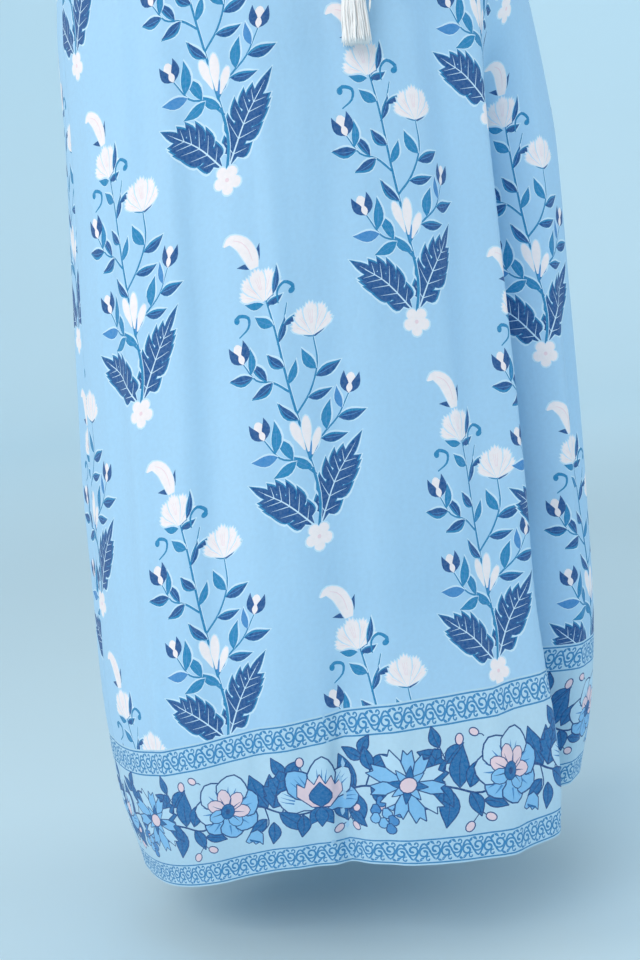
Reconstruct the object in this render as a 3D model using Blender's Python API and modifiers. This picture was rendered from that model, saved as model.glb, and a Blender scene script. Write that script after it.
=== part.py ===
# A midi dress as worn: sleeveless bodice, drawstring casing, gathered skirt and two tasselled cord ends.
# Metres, +Z up. The front faces -Y. The origin lies midway between the tops of the two shoulder seams,
# where the dress hangs. Heights are given as "down", the drop below that shoulder line.

import math
from collections import namedtuple

import bmesh
import bpy
import numpy as np
from mathutils import Vector

# Driving dimensions
CLOTH = 0.0015  # wall of every cloth panel
SEAM_GAP = 0.0003  # between panels that are sewn to each other
WAIST_DOWN = 0.360  # to the middle of the casing
CASING_HEIGHT = 0.025
CASING_SWELL = 0.0012  # how far its middle stands out over the cord inside
CASING_SQUARENESS = 2.1
HEM_DOWN = 1.262  # to the hem before it dips and lifts
WAIST_HALF_WIDTH = 0.150
WAIST_HALF_DEPTH = 0.116

GATHERS = 30  # all round
GATHER_SWELL = 0.0035  # how far a gather stands out at the casing
CASING_PUCKER = 0.0014  # the same on the casing itself
BODICE_GATHER = 0.0021  # and on the bodice
GATHER_FADE = 0.130  # drop over which a gather dies out
GATHER_CLEAR = 12.0  # degrees beside a side seam where the gathers lie flat

FRONT_NECK_DOWN = 0.125
BACK_NECK_DOWN = 0.035
NECK_HALF_WIDTH = 0.085
UNDERARM_DOWN = 0.205
SHOULDER_END = 0.158  # from the middle of the dress to the armhole edge at the shoulder
ARMHOLE_WAIST = 0.148  # the same where the armhole cuts in most
ARMHOLE_TURN = 0.100  # and how far down that is
ARMHOLE_LOW_POWER = 2.5  # how sharply its edge turns in above the underarm
ARMHOLE_HIGH_POWER = 1.5  # and out again towards the shoulder
SHOULDER_SEAM_Y = 0.00035  # middle of the cloth at the shoulder seam, so that its lower rim clears the other panel
SHOULDER_SLOPE = 0.35
SHOULDER_SLOPE_FROM = 0.060

CORD_DIAMETER = 0.0036
CORD_SPACING = 0.006  # between the points of a cord's line
CORD_STANDS_OUT = 0.0045  # straight out of the casing before it turns down
CORD_CLEAR = 0.0012  # between a cord and the crests of the gathers
CORD_HANGS = 0.007  # half of its last stretch, straight down into the tassel
CORD_STEPS = (0.14, 0.3, 0.5, 0.7)  # shares of its drop at which its line is placed
TASSEL_LENGTH = 0.085
TASSEL_RADIUS = 0.0065  # where the strands leave the head
TASSEL_SPREAD = 0.0115  # at the tips
TASSEL_CLEAR = 0.0015  # between its tips and the skirt
TASSEL_GRID = 5  # strands along each side of the head's underside
STRAND_UNEVEN = 0.045  # share of the strand's length by which they differ

# Mesh counts
SKIRT_COLUMNS = 60  # in each panel, four to two gathers
SKIRT_ROWS = 12
SKIRT_ROW_POWER = 1.35  # crowds the rows towards the casing
CASING_COLUMNS = 60
CASING_ROWS = 2
BODICE_COLUMNS = 15  # from the middle to the side seam
BODICE_ROWS = 14
SIDE_SEAM_ROWS = 6  # of those, up to the underarm
FRONT_MIDDLE_ROWS = 7  # up to the neck
BACK_MIDDLE_ROWS = 10
NECK_ROW_POWER = 2.0  # crowds the rows towards the shoulder seam
ARMHOLE_ROW_POWER = 1.3

Section = namedtuple("Section", "down shift_x shift_y half_width half_depth squareness")
SKIRT_TOP = WAIST_DOWN + CASING_HEIGHT / 2 + SEAM_GAP + CLOTH / 2
SKIRT_SECTIONS = [
    Section(SKIRT_TOP, 0.000, 0.000, WAIST_HALF_WIDTH, WAIST_HALF_DEPTH, 2.10),
    Section(0.400, 0.000, 0.000, 0.172, 0.135, 2.10),
    Section(0.440, 0.000, 0.000, 0.197, 0.158, 2.15),
    Section(0.505, 0.002, 0.000, 0.210, 0.176, 2.20),
    Section(0.620, 0.004, 0.000, 0.217, 0.184, 2.20),
    Section(0.800, 0.002, 0.000, 0.224, 0.190, 2.20),
    Section(1.000, -0.001, 0.000, 0.230, 0.195, 2.20),
    Section(1.120, -0.001, 0.008, 0.231, 0.194, 2.25),
    Section(1.200, 0.001, 0.022, 0.226, 0.190, 2.30),
    Section(HEM_DOWN, 0.006, 0.038, 0.215, 0.184, 2.30),
]

# Angles run from the wearer's left side seam (0) over the back (90) and the right side seam (180) to the
# middle of the front (270). A fold grows from "starts" to "full", and stands out by "out" metres,
# or in when that is negative. "pushed" is the direction that it moves in, or None for square to the cloth.
Fold = namedtuple("Fold", "name top_angle hem_angle half_angle starts full out pushed")
SKIRT_FOLDS = [
    Fold("deep valley beside the front left", 308.5, 311, 14, 0.50, 0.68, -0.060, None),
    Fold("left side ridge behind the valley", 336, 336, 18, 0.50, 0.66, 0.010, None),
    Fold("front left ridge before the valley", 292, 294, 13, 0.60, 1.00, 0.008, None),
    Fold("front left kick of the hem", 285, 285, 45, 1.03, 1.28, 0.076, 268),
    Fold("right side drawn in at the hem", 190, 190, 60, 1.05, 1.262, -0.008, None),
    Fold("valley behind the right side", 158, 158, 18, 0.90, 1.10, -0.035, None),
    Fold("soft front valley", 256, 257, 8, 0.40, 0.52, -0.006, None),
    Fold("soft front ridge", 267, 268, 8, 0.45, 0.60, 0.004, None),
    Fold("soft front left valley", 281, 290, 8, 0.40, 0.55, -0.006, None),
    Fold("soft front right valley", 232, 228, 11, 0.42, 0.70, -0.005, None),
    Fold("back right valley", 126, 130, 16, 0.48, 0.85, -0.020, None),
    Fold("back valley", 92, 88, 14, 0.46, 0.80, -0.016, None),
    Fold("back left ridge", 66, 64, 12, 0.50, 0.90, 0.010, None),
    Fold("back left valley", 42, 38, 17, 0.48, 0.85, -0.026, None),
]

# The hem dips where "lift" is negative
HemLift = namedtuple("HemLift", "angle half_angle lift")
HEM_LIFTS = [
    HemLift(180, 80, -0.042),
    HemLift(300, 50, 0.004),
    HemLift(345, 40, 0.004),
]

TorsoSection = namedtuple("TorsoSection", "down half_width front_depth back_depth squareness")
BODICE_BOTTOM = WAIST_DOWN - CASING_HEIGHT / 2 - SEAM_GAP - CLOTH / 4
TORSO_SECTIONS = [
    TorsoSection(0.000, 0.178, 0.000, 0.000, 2.2),
    TorsoSection(0.003, 0.178, 0.014, 0.014, 2.2),
    TorsoSection(0.012, 0.178, 0.029, 0.030, 2.2),
    TorsoSection(0.030, 0.177, 0.047, 0.050, 2.2),
    TorsoSection(0.060, 0.175, 0.067, 0.070, 2.2),
    TorsoSection(0.100, 0.173, 0.088, 0.088, 2.2),
    TorsoSection(0.150, 0.172, 0.112, 0.100, 2.2),
    TorsoSection(UNDERARM_DOWN, 0.173, 0.132, 0.107, 2.2),
    TorsoSection(0.250, 0.168, 0.135, 0.106, 2.2),
    TorsoSection(0.300, 0.159, 0.127, 0.108, 2.15),
    TorsoSection(BODICE_BOTTOM, WAIST_HALF_WIDTH, WAIST_HALF_DEPTH, WAIST_HALF_DEPTH, 2.1),
]
BUST_ANGLE = 32.0  # degrees to each side of the middle
BUST_HALF_ANGLE = 30.0
BUST_DOWN = 0.215
BUST_HALF_DROP = 0.100
BUST_SWELL = 0.009

# A tassel's head from its tip down: drop from the cord and radius
HeadRing = namedtuple("HeadRing", "drop radius")
TASSEL_HEAD = [
    HeadRing(0.0000, 0.0026),
    HeadRing(0.0020, 0.0046),
    HeadRing(0.0060, 0.0060),
    HeadRing(0.0105, 0.0052),
    HeadRing(0.0130, 0.0043),
    HeadRing(0.0155, 0.0050),
    HeadRing(0.0200, TASSEL_RADIUS),
]

# A strand's rings from its root down: share of its length, share of the tassel's spread, width beside its root's
StrandRing = namedtuple("StrandRing", "share opened width")
STRAND_RINGS = [
    StrandRing(0.01, 0.00, 0.70),
    StrandRing(0.40, 0.55, 0.62),
    StrandRing(1.00, 1.00, 0.45),
]

# A free cord end leaves the casing on the crest of a pucker, at this many degrees from the middle of the
# front, and its tassel hangs at tassel_x. Its length runs from the casing to the tassel, straight down.
CordEnd = namedtuple("CordEnd", "name exit_angle tassel_x length")
CORD_ENDS = [
    CordEnd("right", 264.0, -0.0145, 0.128),
    CordEnd("left", 276.0, 0.0190, 0.079),
]
CORD_OUT = GATHER_SWELL + CLOTH / 2 + CORD_DIAMETER / 2 + CORD_CLEAR
TASSEL_OUT = TASSEL_SPREAD + CLOTH / 2 + TASSEL_CLEAR
CURVE_SAMPLES = 400  # for measuring a curve's length


def smooth(x):
    x = np.clip(x, 0.0, 1.0)
    return x * x * (3 - 2 * x)


def wrapped(angle):
    return (angle + 180.0) % 360.0 - 180.0


def bump(angle, half_angle):
    """1 in the middle, 0 from half_angle outwards."""
    share = np.abs(wrapped(angle)) / half_angle
    return np.where(share < 1, np.cos(share * math.pi / 2) ** 2, 0.0)


def between(rows, column, down):
    """A column of a table of sections, read at a drop as a smooth curve through the rows."""
    at = np.array([row.down for row in rows])
    value = np.array([getattr(row, column) for row in rows])
    slope = np.gradient(value, at)
    i = np.clip(np.searchsorted(at, down) - 1, 0, len(at) - 2)
    step = at[i + 1] - at[i]
    t = (down - at[i]) / step
    start = (2 * t**3 - 3 * t**2 + 1) * value[i] + (t**3 - 2 * t**2 + t) * step * slope[i]
    end = (3 * t**2 - 2 * t**3) * value[i + 1] + (t**3 - t**2) * step * slope[i + 1]
    return start + end


def gather_wave(angle):
    """Puckers of the casing, dying out beside the side seams."""
    from_seam = np.abs((angle + 90.0) % 180.0 - 90.0)
    return smooth(from_seam / GATHER_CLEAR) * np.cos(np.radians(angle) * GATHERS)


def round_power(value, power):
    return np.sign(value) * np.abs(value) ** power


def skirt_surface(angle, down):
    """Middle of the skirt's cloth at an angle in degrees and a drop."""
    share = (down - SKIRT_TOP) / (HEM_DOWN - SKIRT_TOP)
    lift = sum(row.lift * bump(angle - row.angle, row.half_angle) for row in HEM_LIFTS) * share**2
    half_width = between(SKIRT_SECTIONS, "half_width", down)
    half_depth = between(SKIRT_SECTIONS, "half_depth", down)
    power = 2.0 / between(SKIRT_SECTIONS, "squareness", down)
    cos, sin = np.cos(np.radians(angle)), np.sin(np.radians(angle))
    x = between(SKIRT_SECTIONS, "shift_x", down) + half_width * round_power(cos, power)
    y = between(SKIRT_SECTIONS, "shift_y", down) + half_depth * round_power(sin, power)
    fade = 1.0 - smooth((down - SKIRT_TOP) / GATHER_FADE)
    out = GATHER_SWELL * fade * gather_wave(angle)
    for fold in SKIRT_FOLDS:
        middle = fold.top_angle + (fold.hem_angle - fold.top_angle) * share
        grown = smooth((down - fold.starts) / (fold.full - fold.starts))
        moved = fold.out * grown * bump(angle - middle, fold.half_angle)
        if fold.pushed is None:
            out = out + moved
        else:
            x = x + moved * math.cos(math.radians(fold.pushed))
            y = y + moved * math.sin(math.radians(fold.pushed))
    square_x, square_y = cos / half_width, sin / half_depth
    length = np.hypot(square_x, square_y)
    return np.stack([x + out * square_x / length, y + out * square_y / length, lift - down], -1)


def torso_surface(angle, down, front):
    """Middle of the bodice's cloth on one side, at an angle from its side seam (0) to its middle (90)."""
    half_width = between(TORSO_SECTIONS, "half_width", down)
    half_depth = between(TORSO_SECTIONS, "front_depth" if front else "back_depth", down)
    power = 2.0 / between(TORSO_SECTIONS, "squareness", down)
    cos, sin = np.cos(np.radians(angle)), np.sin(np.radians(angle))
    x = half_width * round_power(cos, power)
    y = half_depth * round_power(sin, power)
    near_waist = 1.0 - smooth((BODICE_BOTTOM - down) / (GATHER_FADE / 2))
    y = y + BODICE_GATHER * near_waist * gather_wave(angle) * sin
    if front:
        height = np.clip(np.abs(down - BUST_DOWN) / BUST_HALF_DROP, 0, 1)
        swell = np.cos(height * math.pi / 2) ** 2 * bump(90 - BUST_ANGLE - angle, BUST_HALF_ANGLE)
        y = y + BUST_SWELL * swell
    slope = SHOULDER_SLOPE * np.maximum(0.0, x - SHOULDER_SLOPE_FROM) * (1 - smooth(down / UNDERARM_DOWN))
    return np.stack([x, -y if front else y, -down - slope], -1)


def angle_of_x(x, down):
    """The torso angle whose point lies x from the middle."""
    half_width = between(TORSO_SECTIONS, "half_width", down)
    power = between(TORSO_SECTIONS, "squareness", down) / 2.0
    return np.degrees(np.arccos(np.clip(x / half_width, 0, 1) ** power))


def material(name, color, roughness):
    made = bpy.data.materials.new(name)
    made.use_nodes = True
    shader = made.node_tree.nodes["Principled BSDF"]
    shader.inputs["Base Color"].default_value = (*color, 1.0)
    shader.inputs["Roughness"].default_value = roughness
    shader.inputs["Metallic"].default_value = 0.0
    return made


def add_object(name, mesh, finish, collection):
    made = bpy.data.objects.new(name, mesh)
    mesh.materials.append(finish)
    collection.objects.link(made)
    return made


def cloth_from_grid(name, points, finish, collection, mirrored=False):
    """A wall of cloth on a grid of points, rows first. The grid's columns run anticlockwise seen from above."""
    rows, columns = points.shape[:2]
    bm = bmesh.new()
    grid = [[bm.verts.new(points[j, i]) for i in range(columns)] for j in range(rows)]
    for j in range(rows - 1):
        for i in range(columns - 1):
            bm.faces.new((grid[j][i], grid[j + 1][i], grid[j + 1][i + 1], grid[j][i + 1]))
    mesh = bpy.data.meshes.new(name)
    bm.to_mesh(mesh)
    bm.free()
    mesh.shade_smooth()
    made = add_object(name, mesh, finish, collection)
    if mirrored:
        mirror = made.modifiers.new("Other half", "MIRROR")
        mirror.merge_threshold = 0.0001
    wall = made.modifiers.new("Cloth wall", "SOLIDIFY")
    wall.thickness = CLOTH
    wall.offset = 0.0
    wall.use_even_offset = True
    wall.use_quality_normals = True


def trim_seams(points):
    """Moves the first and last columns half a seam gap into the panel."""
    for edge, inner in ((0, 1), (-1, -2)):
        along = points[:, inner] - points[:, edge]
        points[:, edge] += along / np.linalg.norm(along, axis=-1, keepdims=True) * SEAM_GAP / 2
    return points


def skirt_panel(name, from_angle, finish, collection):
    share = np.linspace(0, 1, SKIRT_ROWS + 1) ** SKIRT_ROW_POWER
    down = SKIRT_TOP + (HEM_DOWN - SKIRT_TOP) * share
    angle = from_angle + np.linspace(0, 180, SKIRT_COLUMNS + 1)
    points = skirt_surface(*np.meshgrid(angle, down))
    cloth_from_grid(name, trim_seams(points), finish, collection)


def casing_surface(angle, share):
    """Middle of the casing's cloth, share 0 at its top: it swells where the cord runs inside it."""
    out = CASING_SWELL * np.sin(share * math.pi) + CASING_PUCKER * gather_wave(angle)
    cos, sin = np.cos(np.radians(angle)), np.sin(np.radians(angle))
    x = (WAIST_HALF_WIDTH + out) * round_power(cos, 2.0 / CASING_SQUARENESS)
    y = (WAIST_HALF_DEPTH + out) * round_power(sin, 2.0 / CASING_SQUARENESS)
    return np.stack([x, y, -WAIST_DOWN + CASING_HEIGHT * (0.5 - share)], -1)


def casing_panel(name, from_angle, finish, collection):
    share = np.linspace(0, 1, CASING_ROWS + 1)
    angle = from_angle + np.linspace(0, 180, CASING_COLUMNS + 1)
    points = casing_surface(*np.meshgrid(angle, share))
    cloth_from_grid(name, trim_seams(points), finish, collection)


def neck_and_middle(share, neck_share, neck_down):
    """The inner edge of half a bodice panel: up its middle, then round the neck to the shoulder."""
    if share <= neck_share:
        return 90.0, BODICE_BOTTOM + (neck_down - BODICE_BOTTOM) * share / neck_share
    left = (1 - share) / (1 - neck_share)
    turn = (1 - left**NECK_ROW_POWER) * math.pi / 2
    down = neck_down * math.cos(turn)
    return float(angle_of_x(NECK_HALF_WIDTH * math.sin(turn), down)), down


def side_and_armhole(share, side_share):
    """The outer edge of half a bodice panel: up the side seam, then round the armhole to the shoulder."""
    if share <= side_share:
        return 0.0, BODICE_BOTTOM + (UNDERARM_DOWN - BODICE_BOTTOM) * share / side_share
    climbed = float(smooth((share - side_share) / (1 - side_share)))
    down = UNDERARM_DOWN * (1 - climbed) ** ARMHOLE_ROW_POWER
    low = max(0.0, (down - ARMHOLE_TURN) / (UNDERARM_DOWN - ARMHOLE_TURN))
    high = max(0.0, (ARMHOLE_TURN - down) / ARMHOLE_TURN)
    side_x = float(between(TORSO_SECTIONS, "half_width", UNDERARM_DOWN))
    x = ARMHOLE_WAIST + (side_x - ARMHOLE_WAIST) * low**ARMHOLE_LOW_POWER
    x += (SHOULDER_END - ARMHOLE_WAIST) * high**ARMHOLE_HIGH_POWER
    return float(angle_of_x(x, down)), down


def bodice_panel(name, front, finish, collection):
    side_share = SIDE_SEAM_ROWS / BODICE_ROWS
    neck_share = (FRONT_MIDDLE_ROWS if front else BACK_MIDDLE_ROWS) / BODICE_ROWS
    neck_down = FRONT_NECK_DOWN if front else BACK_NECK_DOWN
    points = np.empty((BODICE_ROWS + 1, BODICE_COLUMNS + 1, 3))
    across = np.linspace(0, 1, BODICE_COLUMNS + 1)
    for j in range(BODICE_ROWS + 1):
        share = j / BODICE_ROWS
        side_angle, side_down = side_and_armhole(share, side_share)
        inner_angle, inner_down = neck_and_middle(share, neck_share, neck_down)
        angle = side_angle + (inner_angle - side_angle) * across
        down = side_down + (inner_down - side_down) * across
        points[j] = torso_surface(angle, down, front)
        if share <= side_share:
            points[j, 0, 1] += (-1 if front else 1) * SEAM_GAP / 2
        if share <= neck_share:
            points[j, -1, 0] = 0.0
    points[-1, :, 1] = -SHOULDER_SEAM_Y if front else SHOULDER_SEAM_Y
    # From the side seam to the middle is anticlockwise on the back, and the rows here run upwards
    if not front:
        points = points[::-1]
    cloth_from_grid(name, points, finish, collection, mirrored=True)


def through(points, spacing):
    """Points at even steps along a smooth curve through the given ones."""
    points = np.array(points, float)
    knots = np.arange(len(points))
    slopes = np.gradient(points, axis=0)
    fine = np.linspace(0, len(points) - 1, CURVE_SAMPLES)
    i = np.clip(fine.astype(int), 0, len(knots) - 2)
    t = (fine - i)[:, None]
    curve = (
        (2 * t**3 - 3 * t**2 + 1) * points[i]
        + (t**3 - 2 * t**2 + t) * slopes[i]
        + (3 * t**2 - 2 * t**3) * points[i + 1]
        + (t**3 - t**2) * slopes[i + 1]
    )
    run = np.concatenate([[0], np.cumsum(np.linalg.norm(np.diff(curve, axis=0), axis=1))])
    steps = np.linspace(0, run[-1], max(2, round(run[-1] / spacing)) + 1)
    return np.stack([np.interp(steps, run, curve[:, k]) for k in range(3)], -1)


def skirt_front_y(x, down):
    """Where the front of the skirt is at this place, its gathers left out."""
    half_width = float(between(SKIRT_SECTIONS, "half_width", max(down, SKIRT_TOP)))
    half_depth = float(between(SKIRT_SECTIONS, "half_depth", max(down, SKIRT_TOP)))
    return -half_depth * math.sqrt(1 - (x / half_width) ** 2)


def cord_route(end):
    """From the casing's face out, over the gathers and down the front to the tassel's head."""
    exit_x, middle_y, exit_z = casing_surface(end.exit_angle, 0.5)
    face = middle_y - CLOTH / 2 - SEAM_GAP
    route = [(exit_x, face, exit_z)]
    route.append((exit_x, face - CORD_STANDS_OUT, exit_z))
    low = WAIST_DOWN + end.length
    tassel_y = skirt_front_y(end.tassel_x, low + TASSEL_LENGTH) - TASSEL_OUT
    for share in CORD_STEPS:
        down = WAIST_DOWN + end.length * share
        x = exit_x + (end.tassel_x - exit_x) * share
        straight_y = face + (tassel_y - face) * share
        route.append((x, min(straight_y, skirt_front_y(x, down) - CORD_OUT), -down))
    for above in (2 * CORD_HANGS, CORD_HANGS, 0.0):
        route.append((end.tassel_x, tassel_y, above - low))
    return route


def add_cord(end, finish, collection):
    curve = bpy.data.curves.new("drawstring_" + end.name, "CURVE")
    curve.dimensions = "3D"
    curve.bevel_depth = CORD_DIAMETER / 2
    curve.bevel_resolution = 2
    curve.use_fill_caps = True
    points = through(cord_route(end), CORD_SPACING)
    spline = curve.splines.new("POLY")
    spline.points.add(len(points) - 1)
    for point, place in zip(spline.points, points):
        point.co = (*place, 1.0)
    made = bpy.data.objects.new("drawstring_" + end.name, curve)
    curve.materials.append(finish)
    collection.objects.link(made)
    return Vector(points[-1])


def on_disc(i, j):
    """A square grid's corner drawn onto a round disc of radius 1."""
    u = 2.0 * i / TASSEL_GRID - 1.0
    v = 2.0 * j / TASSEL_GRID - 1.0
    return Vector((u * math.sqrt(1 - v * v / 2), v * math.sqrt(1 - u * u / 2), 0))


def rim_corners():
    """The grid's outer corners, anticlockwise."""
    n = TASSEL_GRID
    low = [(i, 0) for i in range(n)]
    right = [(n, j) for j in range(n)]
    high = [(n - i, n) for i in range(n)]
    left = [(0, n - j) for j in range(n)]
    return low + right + high + left


def add_strand(bm, root, corners, count):
    """A four-sided lock that leaves a cell of the head's underside and thins towards its tip."""
    middle = sum((corner.co for corner in corners), Vector()) / 4
    side = Vector((middle.x - root.x, middle.y - root.y, 0))
    spread = side * (TASSEL_SPREAD / TASSEL_RADIUS - 1)
    uneven = 1 - STRAND_UNEVEN * (1 - math.sin(count * TASSEL_GRID / 2))
    length = (TASSEL_LENGTH - TASSEL_HEAD[-1].drop) * uneven
    previous = corners
    for row in STRAND_RINGS:
        place = middle + spread * row.opened - Vector((0, 0, length * row.share))
        ring = []
        for corner in corners:
            ring.append(bm.verts.new(place + (corner.co - middle) * row.width))
        for k in range(4):
            nxt = (k + 1) % 4
            bm.faces.new((previous[k], previous[nxt], ring[nxt], ring[k]))
        previous = ring
    bm.faces.new(previous)


def add_tassel(end, top, finish, collection):
    """A wrapped head, with its strands growing out of its underside."""
    root = top - Vector((0, 0, SEAM_GAP))
    bm = bmesh.new()
    rim = rim_corners()
    rings = []
    for row in TASSEL_HEAD:
        centre = root - Vector((0, 0, row.drop))
        ring = []
        for corner in rim:
            ring.append(bm.verts.new(centre + on_disc(*corner) * row.radius))
        rings.append(ring)
    for upper, lower in zip(rings, rings[1:]):
        for k in range(len(rim)):
            nxt = (k + 1) % len(rim)
            bm.faces.new((upper[k], lower[k], lower[nxt], upper[nxt]))
    bm.faces.new(rings[0])
    under = {corner: vert for corner, vert in zip(rim, rings[-1])}
    centre = root - Vector((0, 0, TASSEL_HEAD[-1].drop))
    for i in range(1, TASSEL_GRID):
        for j in range(1, TASSEL_GRID):
            under[(i, j)] = bm.verts.new(centre + on_disc(i, j) * TASSEL_RADIUS)
    for i in range(TASSEL_GRID):
        for j in range(TASSEL_GRID):
            cell = ((i, j), (i, j + 1), (i + 1, j + 1), (i + 1, j))
            add_strand(bm, centre, [under[corner] for corner in cell], i * TASSEL_GRID + j)
    bmesh.ops.recalc_face_normals(bm, faces=bm.faces)
    mesh = bpy.data.meshes.new("tassel_" + end.name)
    bm.to_mesh(mesh)
    bm.free()
    mesh.shade_smooth()
    add_object("tassel_" + end.name, mesh, finish, collection)


def main():
    for old in list(bpy.data.objects):
        bpy.data.objects.remove(old, do_unlink=True)
    collection = bpy.data.collections.new("midi_dress")
    bpy.context.scene.collection.children.link(collection)
    cloth = material("pale blue cotton", (0.40, 0.67, 0.92), 0.85)
    cord = material("cream cord", (0.90, 0.87, 0.83), 0.80)
    thread = material("cream tassel thread", (0.92, 0.89, 0.87), 0.75)
    skirt_panel("skirt_back", 0.0, cloth, collection)
    skirt_panel("skirt_front", 180.0, cloth, collection)
    casing_panel("casing_back", 0.0, cloth, collection)
    casing_panel("casing_front", 180.0, cloth, collection)
    bodice_panel("bodice_front", True, cloth, collection)
    bodice_panel("bodice_back", False, cloth, collection)
    for end in CORD_ENDS:
        tip = add_cord(end, cord, collection)
        add_tassel(end, tip, thread, collection)


main()
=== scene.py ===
# A midi dress in block-printed cotton, worn in mid step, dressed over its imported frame.
# Metres, +Z up, the front faces -Y. Heights are given as "down", the drop below the shoulder line.

import math

import bpy
import numpy as np
from mathutils import Matrix, Vector
from mathutils.geometry import delaunay_2d_cdt
from mathutils.kdtree import KDTree


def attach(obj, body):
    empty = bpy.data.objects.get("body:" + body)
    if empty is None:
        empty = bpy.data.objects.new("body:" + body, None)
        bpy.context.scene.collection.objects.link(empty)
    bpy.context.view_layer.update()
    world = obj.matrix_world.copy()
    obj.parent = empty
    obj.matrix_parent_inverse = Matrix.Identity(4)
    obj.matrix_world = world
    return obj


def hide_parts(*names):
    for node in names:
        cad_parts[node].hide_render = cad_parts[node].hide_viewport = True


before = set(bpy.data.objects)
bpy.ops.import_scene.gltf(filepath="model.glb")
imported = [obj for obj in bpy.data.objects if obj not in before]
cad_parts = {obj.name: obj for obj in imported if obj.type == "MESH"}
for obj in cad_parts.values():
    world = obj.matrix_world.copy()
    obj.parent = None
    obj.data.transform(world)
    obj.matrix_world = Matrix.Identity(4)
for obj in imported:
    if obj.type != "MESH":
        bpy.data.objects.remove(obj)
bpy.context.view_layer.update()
bpy.context.scene.view_settings.view_transform = "Standard"
print("frame loaded:", len(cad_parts), "nodes")

# The photograph's view, low at the wearer's right
shot = {
    "turn": -19.0,  # degrees round from straight in front
    "pitch": 8.0,  # degrees downwards
    "roll": 5.0,
    "distance": 1.585,
    "beside": 0.010,
    "height": -0.725,
    "lens": 63.75,
}


def addObject(name, data):
    made = bpy.data.objects.new(name, data)
    bpy.context.scene.collection.objects.link(made)
    return made


def addCamera():
    turn, pitch, roll = (math.radians(shot[key]) for key in ("turn", "pitch", "roll"))
    ahead = Vector((-math.sin(turn), math.cos(turn), 0))
    level = Vector((math.cos(turn), math.sin(turn), 0))
    place = -ahead * shot["distance"] - level * shot["beside"] + Vector((0, 0, shot["height"]))
    look = ahead * math.cos(pitch) - Vector((0, 0, math.sin(pitch)))
    upright = level.cross(look)
    right = level * math.cos(roll) - upright * math.sin(roll)
    top = level * math.sin(roll) + upright * math.cos(roll)
    data = bpy.data.cameras.new("camera")
    data.lens = shot["lens"]
    data.clip_start = 0.05
    camera = addObject("camera", data)
    camera.matrix_world = Matrix((right, top, -look)).transposed().to_4x4()
    camera.matrix_world.translation = place
    bpy.context.scene.camera = camera


addCamera()

# The dress's own sizes
dress = {
    "waistDown": 0.360,
    "casingHeight": 0.025,
    "casingSwell": 0.0012,
    "hemDown": 1.262,
    "waistHalfWidth": 0.150,
    "waistHalfDepth": 0.116,
    "waistSquareness": 2.1,
    "wall": 0.0006,  # of the cloth
    "seamGap": 0.0003,
    "gathers": 30,
    "gatherSwell": 0.0034,
    "casingPucker": 0.0014,
    "bodiceGather": 0.0021,
    "gatherFade": 0.130,
    "gatherFadeVaries": (0.35, 11),  # by how much, and how often round the dress
    "gatherClear": 12.0,  # degrees beside a side seam
    "pleats": 46,
    "pleatWidth": 0.26,  # as a share of the room between them
    "pleatDepth": 0.0044,
    "pleatReach": 0.17,
    "pleatShift": 0.34,  # how far one may lie off its place, as a share of the room between them
    "pleatShortest": 0.30,  # share of the reach
    "pleatShallowest": 0.45,  # share of the depth
    "pleatStart": (0.4, 0.012),  # share of the depth at the seam, and metres to the whole of it
    "pleatLean": 26,  # degrees for each metre down
    "pleatClear": 5.0,  # degrees beside a side seam
    "casingPleats": 0.7,  # their depth as a share of the skirt's
    "bodicePleats": 0.6,
    "casingMiddle": 0.4,  # what the middle of the casing keeps of its pleats' depth
    "casingRipple": {"height": 0.0004, "around": 71, "strays": 3, "often": 5},
    "bust": {"down": 0.215, "reach": 0.100, "aside": 32, "halfAngle": 30, "out": 0.009},
    "rowsUpwards": 1.8,  # the bodice's rows lie closer towards the shoulder line
    "frontNeckDown": 0.125,
    "backNeckDown": 0.035,
    "neckHalfWidth": 0.085,
    "underarmDown": 0.205,
    "shoulderEnd": 0.158,
    "armholeWaist": 0.148,
    "armholeTurn": 0.100,
    "armholeCurve": (1.3, 2.5, 1.5),  # how its drop eases in, and how it bends out below and above its waist
    "shoulderSlope": 0.35,
    "shoulderSlopeFrom": 0.060,
}
puckers = {
    "height": 0.82,
    "uneven": [(0.22, 7, 1.0), (0.14, 13, 2.0)],  # by how much, how often round the dress, and from where
    "strays": (0.55, 9, 30),  # how far, how often, and degrees from a seam to the whole of it
    "second": (0.16, 0.8),  # a wave twice as close: its height and where it starts
}
cadWall = 0.0015
skirtTop = dress["waistDown"] + dress["casingHeight"] / 2 + dress["seamGap"] + cadWall / 2
bodiceBottom = dress["waistDown"] - dress["casingHeight"] / 2 - dress["seamGap"] - cadWall / 4

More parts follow.
